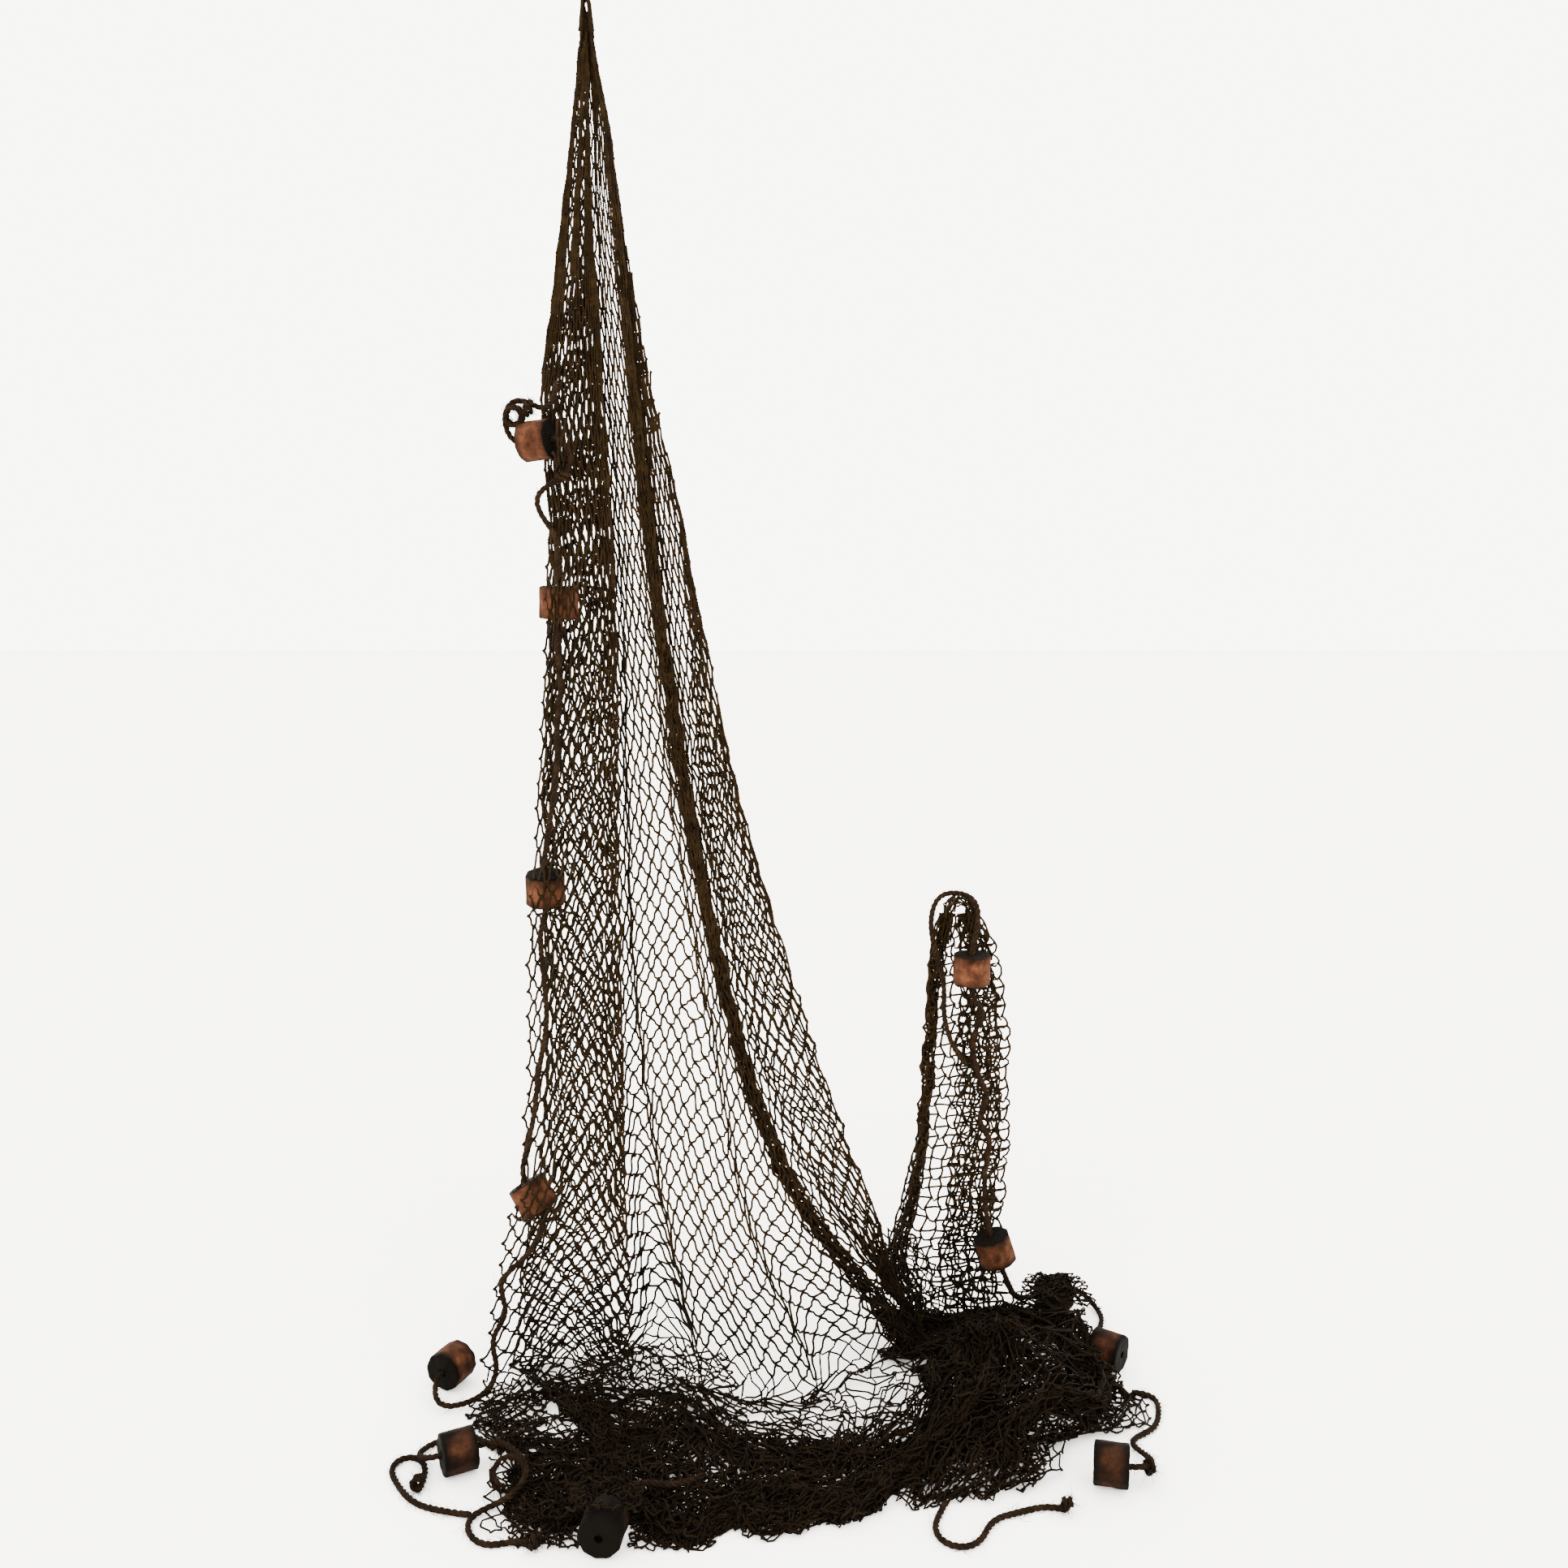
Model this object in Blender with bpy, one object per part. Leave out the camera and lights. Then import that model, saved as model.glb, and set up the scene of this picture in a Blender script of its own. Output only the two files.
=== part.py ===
"""A hung gill net: one gathered sheet of netting with a cork line along its edge.

Metres, +Z up. The origin is the middle of the eye that the net hangs from. The wall is
on the +Y side, the net falls along -Z, and its foot lies on the surface at -HANG_HEIGHT.
"""

import math
from collections import namedtuple

import bmesh
import bpy
from mathutils import Matrix, Vector

# Driving dimensions
HANG_HEIGHT = 1.975
SHEET_THICKNESS = 0.0024
CORD_DIAMETER = 0.008
FLOAT_DIAMETER = 0.058
FLOAT_LENGTH = 0.046
FLOAT_SIDES = 10
FLOAT_RIM = 0.003
CLEARANCE = 0.0003
FLOOR = -HANG_HEIGHT
CORD_ON_FLOOR = FLOOR + CORD_DIAMETER / 2 + 0.0005
FLOAT_ON_FLOOR = FLOOR + FLOAT_DIAMETER / 2 + 0.0005

# The main hang. Each row is a level section: how far below the hook it is, the x of the
# left edge, the strong fold, both sides of the tight bunch and the right edge, how far
# the section leans out from the wall, how deep its pleats are and how far the open
# panel billows forward.
Section = namedtuple("Section", "drop left fold bunch_in bunch_out right lean gape billow")
MAIN_HANG = (
    Section(0.070, -0.013, 0.002, 0.009, 0.013, 0.015, 0.000, 0.012, 0.000),
    Section(0.160, -0.025, 0.004, 0.023, 0.029, 0.033, 0.002, 0.014, 0.000),
    Section(0.270, -0.040, 0.005, 0.030, 0.041, 0.052, 0.006, 0.018, 0.001),
    Section(0.420, -0.060, 0.012, 0.044, 0.054, 0.077, 0.013, 0.022, 0.003),
    Section(0.550, -0.075, 0.018, 0.054, 0.067, 0.096, 0.020, 0.026, 0.004),
    Section(0.730, -0.066, 0.028, 0.071, 0.087, 0.130, 0.033, 0.032, 0.006),
    Section(0.900, -0.070, 0.034, 0.090, 0.108, 0.163, 0.047, 0.038, 0.008),
    Section(1.100, -0.082, 0.035, 0.118, 0.138, 0.206, 0.070, 0.045, 0.012),
    Section(1.310, -0.095, 0.038, 0.157, 0.176, 0.264, 0.098, 0.052, 0.020),
    Section(1.540, -0.098, 0.042, 0.209, 0.234, 0.335, 0.130, 0.062, 0.038),
    Section(1.670, -0.111, 0.045, 0.256, 0.286, 0.383, 0.150, 0.070, 0.055),
    Section(1.770, -0.134, 0.050, 0.310, 0.348, 0.424, 0.165, 0.078, 0.075),
    Section(1.870, -0.150, 0.055, 0.385, 0.430, 0.452, 0.178, 0.085, 0.095),
    Section(1.962, -0.158, 0.060, 0.440, 0.490, 0.500, 0.190, 0.090, 0.115),
)

# The leaves that each section folds into, from the left edge to the end hidden at the
# back, with the columns of meshes that each one takes.
MAIN_LEAVES = (5, 4, 4, 5, 2, 2, 2, 3, 3)

# The side hang, with the same idea: a gathered band on its left and a front and a back
# leaf that meet at its scalloped right edge.
SideSection = namedtuple("SideSection", "drop left band right lean gape")
SIDE_HANG = (
    SideSection(1.312, 0.526, 0.012, 0.576, 0.030, 0.010),
    SideSection(1.345, 0.520, 0.014, 0.600, 0.031, 0.016),
    SideSection(1.440, 0.508, 0.015, 0.618, 0.034, 0.024),
    SideSection(1.565, 0.498, 0.016, 0.627, 0.040, 0.032),
    SideSection(1.665, 0.491, 0.017, 0.628, 0.046, 0.038),
    SideSection(1.730, 0.481, 0.019, 0.625, 0.052, 0.042),
    SideSection(1.800, 0.468, 0.023, 0.622, 0.060, 0.046),
    SideSection(1.870, 0.446, 0.028, 0.626, 0.070, 0.050),
    SideSection(1.962, 0.470, 0.032, 0.636, 0.080, 0.052),
)
SIDE_LEAVES = (2, 2, 4, 3)

# Rows of meshes. The two hangs part above the last SHARED_ROWS.
MAIN_PLAIN_ROWS = 13
MAIN_OPEN_ROWS = 16
MAIN_OPEN_FROM = 1.250
SIDE_ROWS = 14
SHARED_ROWS = 3
POOL_ROWS = 12

# Open meshes: the bars between the cut diamonds, as a share of half a mesh.
BAR_SHARE = 0.115

# The netting on the surface, seen from above: the edge that leads from each hang's foot
# to the front, and the front edge, from left to right.
Place = namedtuple("Place", "x y")
LEFT_EDGE = (
    Place(-0.158, -0.280),
    Place(-0.172, -0.345),
    Place(-0.104, -0.420),
    Place(-0.090, -0.490),
    Place(-0.070, -0.545),
)
RIGHT_EDGE = (
    Place(0.560, -0.055),
    Place(0.650, -0.082),
    Place(0.690, -0.126),
    Place(0.682, -0.205),
    Place(0.750, -0.262),
    Place(0.798, -0.292),
    Place(0.772, -0.362),
    Place(0.700, -0.388),
    Place(0.655, -0.430),
    Place(0.632, -0.478),
    Place(0.590, -0.505),
)
FRONT_EDGE = (
    Place(-0.070, -0.545),
    Place(-0.020, -0.580),
    Place(0.015, -0.560),
    Place(0.055, -0.525),
    Place(0.100, -0.580),
    Place(0.150, -0.607),
    Place(0.205, -0.572),
    Place(0.260, -0.586),
    Place(0.315, -0.560),
    Place(0.350, -0.562),
    Place(0.385, -0.508),
    Place(0.450, -0.528),
    Place(0.520, -0.508),
    Place(0.590, -0.505),
)

# The heap under the side hang: middle, reach and height, and the ruck on top of it.
HEAP_MIDDLE = Place(0.600, -0.305)
HEAP_REACH = Place(0.165, 0.190)
HEAP_HEIGHT = 0.085
RUCK_HEIGHT = 0.040
POOL_HEIGHT = 0.028
EDGE_COLUMNS = 6
EDGE_ROWS = 2.5


def smooth_row(rows, drop):
    """The section at this drop, read from a smooth curve through the table's rows."""
    for index in range(len(rows) - 1):
        if drop <= rows[index + 1].drop or index == len(rows) - 2:
            break
    before = rows[max(index - 1, 0)]
    start = rows[index]
    end = rows[index + 1]
    after = rows[min(index + 2, len(rows) - 1)]
    share = (drop - start.drop) / (end.drop - start.drop)
    values = []
    for a, b, c, d in zip(before, start, end, after):
        lift = (c - a) / 2
        land = (d - b) / 2
        square = share * share
        cube = square * share
        values.append(
            b * (2 * cube - 3 * square + 1)
            + lift * (cube - 2 * square + share)
            + c * (3 * square - 2 * cube)
            + land * (cube - square)
        )
    return type(start)(*values)


def smooth_place(points, share):
    """A point at this share of the way along a smooth curve through the points."""
    spot = min(max(share, 0.0), 1.0) * (len(points) - 1)
    index = min(int(spot), len(points) - 2)
    local = spot - index
    a = Vector(points[max(index - 1, 0)])
    b = Vector(points[index])
    c = Vector(points[index + 1])
    d = Vector(points[min(index + 2, len(points) - 1)])
    return 0.5 * (
        2 * b
        + (c - a) * local
        + (2 * a - 5 * b + 4 * c - d) * local**2
        + (3 * b - a - 3 * c + d) * local**3
    )


def fold_line(corners, leaves):
    """Points along a folded line, each leaf cut into its columns."""
    points = [Vector(corners[0])]
    for start, end, columns in zip(corners, corners[1:], leaves):
        for column in range(1, columns + 1):
            points.append(Vector(start).lerp(Vector(end), column / columns))
    return points


def main_section(drop):
    """The main hang's fold line at one level, as points in plan."""
    s = smooth_row(MAIN_HANG, drop)
    pleat = s.fold - s.left
    flap = s.right - s.bunch_out
    corners = (
        (s.left, -1.00 * s.gape),
        (s.fold, -0.62 * s.gape),
        (s.left + 0.14 * pleat, -0.24 * s.gape),
        (s.fold, 0.30 * s.gape),
        (s.bunch_in, -0.30 * s.gape),
        (s.bunch_out, -0.10 * s.gape),
        (s.bunch_in + 0.002, 0.12 * s.gape),
        (s.bunch_out, 0.32 * s.gape),
        (s.right, 0.42 * s.gape),
        (s.bunch_out + 0.45 * flap, 0.75 * s.gape),
    )
    points = fold_line(corners, MAIN_LEAVES)
    panel = sum(MAIN_LEAVES[:3])
    for column in range(MAIN_LEAVES[3] + 1):
        bow = math.sin(math.pi * column / MAIN_LEAVES[3])
        points[panel + column].y -= s.billow * bow
    return [Vector((p.x, p.y - s.lean, -drop)) for p in points]


def side_section(drop):
    """The side hang's fold line at one level, as points in plan."""
    s = smooth_row(SIDE_HANG, drop)
    corners = (
        (s.left, 0.35 * s.gape),
        (s.left + s.band, 0.10 * s.gape),
        (s.left, -0.20 * s.gape),
        (s.right, -0.45 * s.gape),
        (s.left + s.band + 0.25 * (s.right - s.left), 0.50 * s.gape),
    )
    points = fold_line(corners, SIDE_LEAVES)
    return [Vector((p.x, p.y - s.lean, -drop)) for p in points]


def spread(start, end, count):
    """This many drops from start to end."""
    return [start + (end - start) * step / (count - 1) for step in range(count)]


def heap_rise(x, y):
    """How far the heap lifts the netting above the surface at this place."""
    across = (x - HEAP_MIDDLE.x) / HEAP_REACH.x
    along = (y - HEAP_MIDDLE.y) / HEAP_REACH.y
    return math.exp(-((across * across + along * along) ** 1.5))


def rucks(x, y):
    """Waves that cross each other, from -1 to 1, as crumpled netting lies."""
    wave = 1 - 2 * abs(math.sin(24 * x + 15 * y + 1.2 * math.sin(23 * y)))
    cross = math.sin(49 * y - 27 * x + 1.5 * math.sin(19 * x))
    return 0.6 * wave + 0.4 * cross


def pool_point(foot, column, last_column, share):
    """The netting on the surface, between the feet of the hangs and the front edge."""
    across = column / last_column
    left = smooth_place(LEFT_EDGE, share)
    right = smooth_place(RIGHT_EDGE, share)
    front = smooth_place(FRONT_EDGE, across)
    sides = left.lerp(right, across)
    ends = Vector((foot[column].x, foot[column].y)).lerp(front, share)
    corners_near = Vector((foot[0].x, foot[0].y)).lerp(Vector((foot[-1].x, foot[-1].y)), across)
    corners_far = Vector(FRONT_EDGE[0]).lerp(Vector(FRONT_EDGE[-1]), across)
    place = sides + ends - corners_near.lerp(corners_far, share)
    rows_in = (1 - share) * POOL_ROWS / EDGE_ROWS
    columns_in = min(column, last_column - column) / EDGE_COLUMNS
    edge = math.sin(math.pi / 2 * min(1.0, rows_in, columns_in))
    heap = heap_rise(place.x, place.y)
    ruck = POOL_HEIGHT + (RUCK_HEIGHT - POOL_HEIGHT) * heap
    lift = HEAP_HEIGHT * heap + ruck * (0.5 + 0.5 * rucks(place.x, place.y))
    return Vector((place.x, place.y, FLOOR + SHEET_THICKNESS + lift * edge))


def netting_rows():
    """The netting's points by (column, row), with the rows that carry open meshes."""
    main_columns = sum(MAIN_LEAVES) + 1
    side_columns = sum(SIDE_LEAVES) + 1
    columns = main_columns + side_columns
    top = MAIN_HANG[0].drop
    foot_drop = MAIN_HANG[-1].drop
    drops = spread(top, MAIN_OPEN_FROM, MAIN_PLAIN_ROWS + 1)
    drops += spread(MAIN_OPEN_FROM, foot_drop, MAIN_OPEN_ROWS + 1)[1:]
    side_drops = spread(SIDE_HANG[0].drop, foot_drop, SIDE_ROWS + 1)
    main_last = len(drops) - 1
    side_first = main_last - SIDE_ROWS
    points = {}
    for row, drop in enumerate(drops):
        for column, point in enumerate(main_section(drop)):
            points[column, row] = point
    for row, drop in enumerate(side_drops):
        for column, point in enumerate(side_section(drop)):
            points[main_columns + column, side_first + row] = point
    foot = [points[column, main_last] for column in range(columns)]
    for row in range(1, POOL_ROWS + 1):
        for column in range(columns):
            share = row / POOL_ROWS
            points[column, main_last + row] = pool_point(foot, column, columns - 1, share)
    return points, main_columns, main_last


def open_mesh_knots(points, main_columns, main_last):
    """The grid points that an open mesh is cut around: every other one, off the folds."""
    bunch_first = sum(MAIN_LEAVES[:4])
    bunch_last = sum(MAIN_LEAVES[:7])
    side_band = main_columns + sum(SIDE_LEAVES[:2])
    knots = set()
    for column, row in points:
        if (column + row) % 2:
            continue
        if not MAIN_PLAIN_ROWS + 1 <= row < main_last:
            continue
        if column < main_columns:
            inside = 0 < column < main_columns - 1 and not bunch_first <= column <= bunch_last
        else:
            inside = (column - 1, row - 1) in points and column > side_band
            inside = inside and (column + 1, row) in points
        if inside:
            knots.add((column, row))
    return knots


def netting_surface():
    """The netting as one open surface with its meshes cut through."""
    points, main_columns, main_last = netting_rows()
    knots = open_mesh_knots(points, main_columns, main_last)
    mesh = bmesh.new()
    verts = {}

    def corner(spot):
        if spot not in verts:
            verts[spot] = mesh.verts.new(points[spot])
        return verts[spot]

    def on_edge(cut, kept):
        if (cut, kept) not in verts:
            verts[cut, kept] = mesh.verts.new(points[kept].lerp(points[cut], BAR_SHARE))
        return verts[cut, kept]

    for column, row in points:
        a = (column, row)
        b = (column + 1, row)
        c = (column + 1, row + 1)
        d = (column, row + 1)
        if not all(spot in points for spot in (b, c, d)):
            continue
        if column == main_columns - 1 and row < main_last - SHARED_ROWS:
            continue
        if b in knots or d in knots:
            a, b, c, d = b, c, d, a
        for cut in (a, c):
            if cut in knots:
                loop = (on_edge(cut, b), corner(b), corner(d), on_edge(cut, d))
            else:
                loop = (corner(cut), corner(b), corner(d))
            mesh.faces.new(loop if cut == a else tuple(reversed(loop)))
    mesh.normal_update()
    return mesh


def link_mesh(name, mesh, material=None):
    """A new object that holds this bmesh."""
    data = bpy.data.meshes.new(name)
    mesh.to_mesh(data)
    mesh.free()
    thing = bpy.data.objects.new(name, data)
    bpy.context.collection.objects.link(thing)
    if material:
        data.materials.append(material)
    return thing


def plain_material(name, colour, roughness):
    """A Principled finish with one colour."""
    material = bpy.data.materials.new(name)
    material.use_nodes = True
    shader = material.node_tree.nodes["Principled BSDF"]
    shader.inputs["Base Color"].default_value = (*colour, 1.0)
    shader.inputs["Roughness"].default_value = roughness
    return material


HeadRing = namedtuple("HeadRing", "drop x half_width half_depth")
MAIN_HEAD = (
    HeadRing(-0.009, 0.000, 0.0046, 0.0048),
    HeadRing(-0.003, 0.000, 0.0064, 0.0062),
    HeadRing(0.012, 0.000, 0.0068, 0.0072),
    HeadRing(0.036, 0.000, 0.0086, 0.0095),
    HeadRing(0.056, 0.000, 0.0118, 0.0120),
    HeadRing(0.078, 0.001, 0.0150, 0.0145),
    HeadRing(0.092, 0.001, 0.0155, 0.0135),
)
SIDE_HEAD = (
    HeadRing(1.290, 0.551, 0.0180, 0.0060),
    HeadRing(1.298, 0.551, 0.0265, 0.0085),
    HeadRing(1.310, 0.551, 0.0280, 0.0100),
    HeadRing(1.324, 0.551, 0.0275, 0.0095),
)
HEAD_SIDES = 14
HEAD_LOBES = 0.10


def gathered_head(name, rings, lean):
    """The bunched netting at a hanging point: stacked rings, lobed like strands."""
    mesh = bmesh.new()
    loops = []
    for level, ring in enumerate(rings):
        loop = []
        for side in range(HEAD_SIDES):
            angle = 2 * math.pi * side / HEAD_SIDES
            lobe = 1 + HEAD_LOBES * (-1) ** (side + level)
            x = ring.x + ring.half_width * lobe * math.cos(angle)
            y = ring.half_depth * lobe * math.sin(angle) - lean
            loop.append(mesh.verts.new((x, y, -ring.drop)))
        loops.append(loop)
    for upper, lower in zip(loops, loops[1:]):
        for side in range(HEAD_SIDES):
            after = (side + 1) % HEAD_SIDES
            mesh.faces.new((upper[side], lower[side], lower[after], upper[after]))
    mesh.faces.new(loops[0])
    mesh.faces.new(tuple(reversed(loops[-1])))
    bmesh.ops.recalc_face_normals(mesh, faces=mesh.faces)
    head = link_mesh(name, mesh)
    head.hide_render = True
    head.display_type = "WIRE"
    return head


NAIL_EYE = 0.0034
EYE_REACH = 0.060


def nail_eye():
    """The small eye at the origin that a nail goes through."""
    mesh = bmesh.new()
    bmesh.ops.create_cone(
        mesh,
        cap_ends=True,
        segments=10,
        radius1=NAIL_EYE,
        radius2=NAIL_EYE,
        depth=EYE_REACH,
    )
    turn = Matrix.Rotation(math.pi / 2, 4, "X")
    bmesh.ops.transform(mesh, matrix=turn, verts=mesh.verts)
    eye = link_mesh("nail_eye", mesh)
    eye.hide_render = True
    eye.display_type = "WIRE"
    return eye


def boolean(thing, other, operation):
    """Adds a Boolean with this other shape to the object."""
    step = thing.modifiers.new(other.name, "BOOLEAN")
    step.operation = operation
    step.solver = "MANIFOLD"
    step.object = other


def build_netting(material):
    """The netting as one solid sheet, gathered into a head at each hanging point."""
    netting = link_mesh("netting", netting_surface(), material)
    wall = netting.modifiers.new("Sheet", "SOLIDIFY")
    wall.thickness = SHEET_THICKNESS
    wall.offset = 0.0
    boolean(netting, gathered_head("main_head", MAIN_HEAD, 0.0), "UNION")
    boolean(netting, gathered_head("side_head", SIDE_HEAD, SIDE_HANG[0].lean), "UNION")
    boolean(netting, nail_eye(), "DIFFERENCE")
    return netting


# The cork floats, in the order of the line: name, middle and the way the bore points.
Float = namedtuple("Float", "name middle bore")
FLOATS = (
    Float("float_01", (-0.072, -0.088, -0.606), (0.92, -0.30, 0.10)),
    Float("float_02", (-0.044, -0.110, -0.834), (0.04, 0.00, 1.00)),
    Float("float_03", (-0.065, -0.173, -1.240), (0.02, -0.14, 1.00)),
    Float("float_04", (-0.082, -0.255, -1.676), (-0.50, 0.20, 0.84)),
    Float("float_05", (-0.212, -0.250, FLOAT_ON_FLOOR), (0.42, 0.90, 0.00)),
    Float("float_06", (-0.158, -0.452, FLOAT_ON_FLOOR), (0.90, 0.42, 0.00)),
    Float("float_07", (0.055, -0.602, FLOAT_ON_FLOOR), (0.15, 0.98, 0.00)),
    Float("float_08", (0.712, -0.480, FLOAT_ON_FLOOR), (0.97, -0.22, 0.00)),
    Float("float_09", (0.766, -0.210, FLOAT_ON_FLOOR), (0.80, -0.58, 0.00)),
    Float("float_10", (0.715, -0.045, FLOAT_ON_FLOOR), (0.95, 0.30, 0.00)),
    Float("float_11", (0.565, -0.080, -1.390), (0.02, 0.00, 1.00)),
    Float("float_12", (0.606, -0.1185, -1.830), (-0.30, 0.00, 0.95)),
)


def build_float(row, material):
    """One cork float: a block cut with flat sides and softened rims."""
    mesh = bmesh.new()
    bmesh.ops.create_cone(
        mesh,
        cap_ends=True,
        segments=FLOAT_SIDES,
        radius1=FLOAT_DIAMETER / 2,
        radius2=FLOAT_DIAMETER / 2,
        depth=FLOAT_LENGTH,
    )
    rims = [edge for edge in mesh.edges if abs(edge.verts[0].co.z - edge.verts[1].co.z) < CLEARANCE]
    bmesh.ops.bevel(
        mesh,
        geom=rims,
        offset=FLOAT_RIM,
        segments=1,
        profile=0.5,
        affect="EDGES",
        material=-1,
    )
    block = link_mesh(row.name, mesh, material)
    turn = Vector((0, 0, 1)).rotation_difference(Vector(row.bore).normalized())
    block.rotation_mode = "QUATERNION"
    block.rotation_quaternion = turn
    block.location = row.middle
    return block


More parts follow.
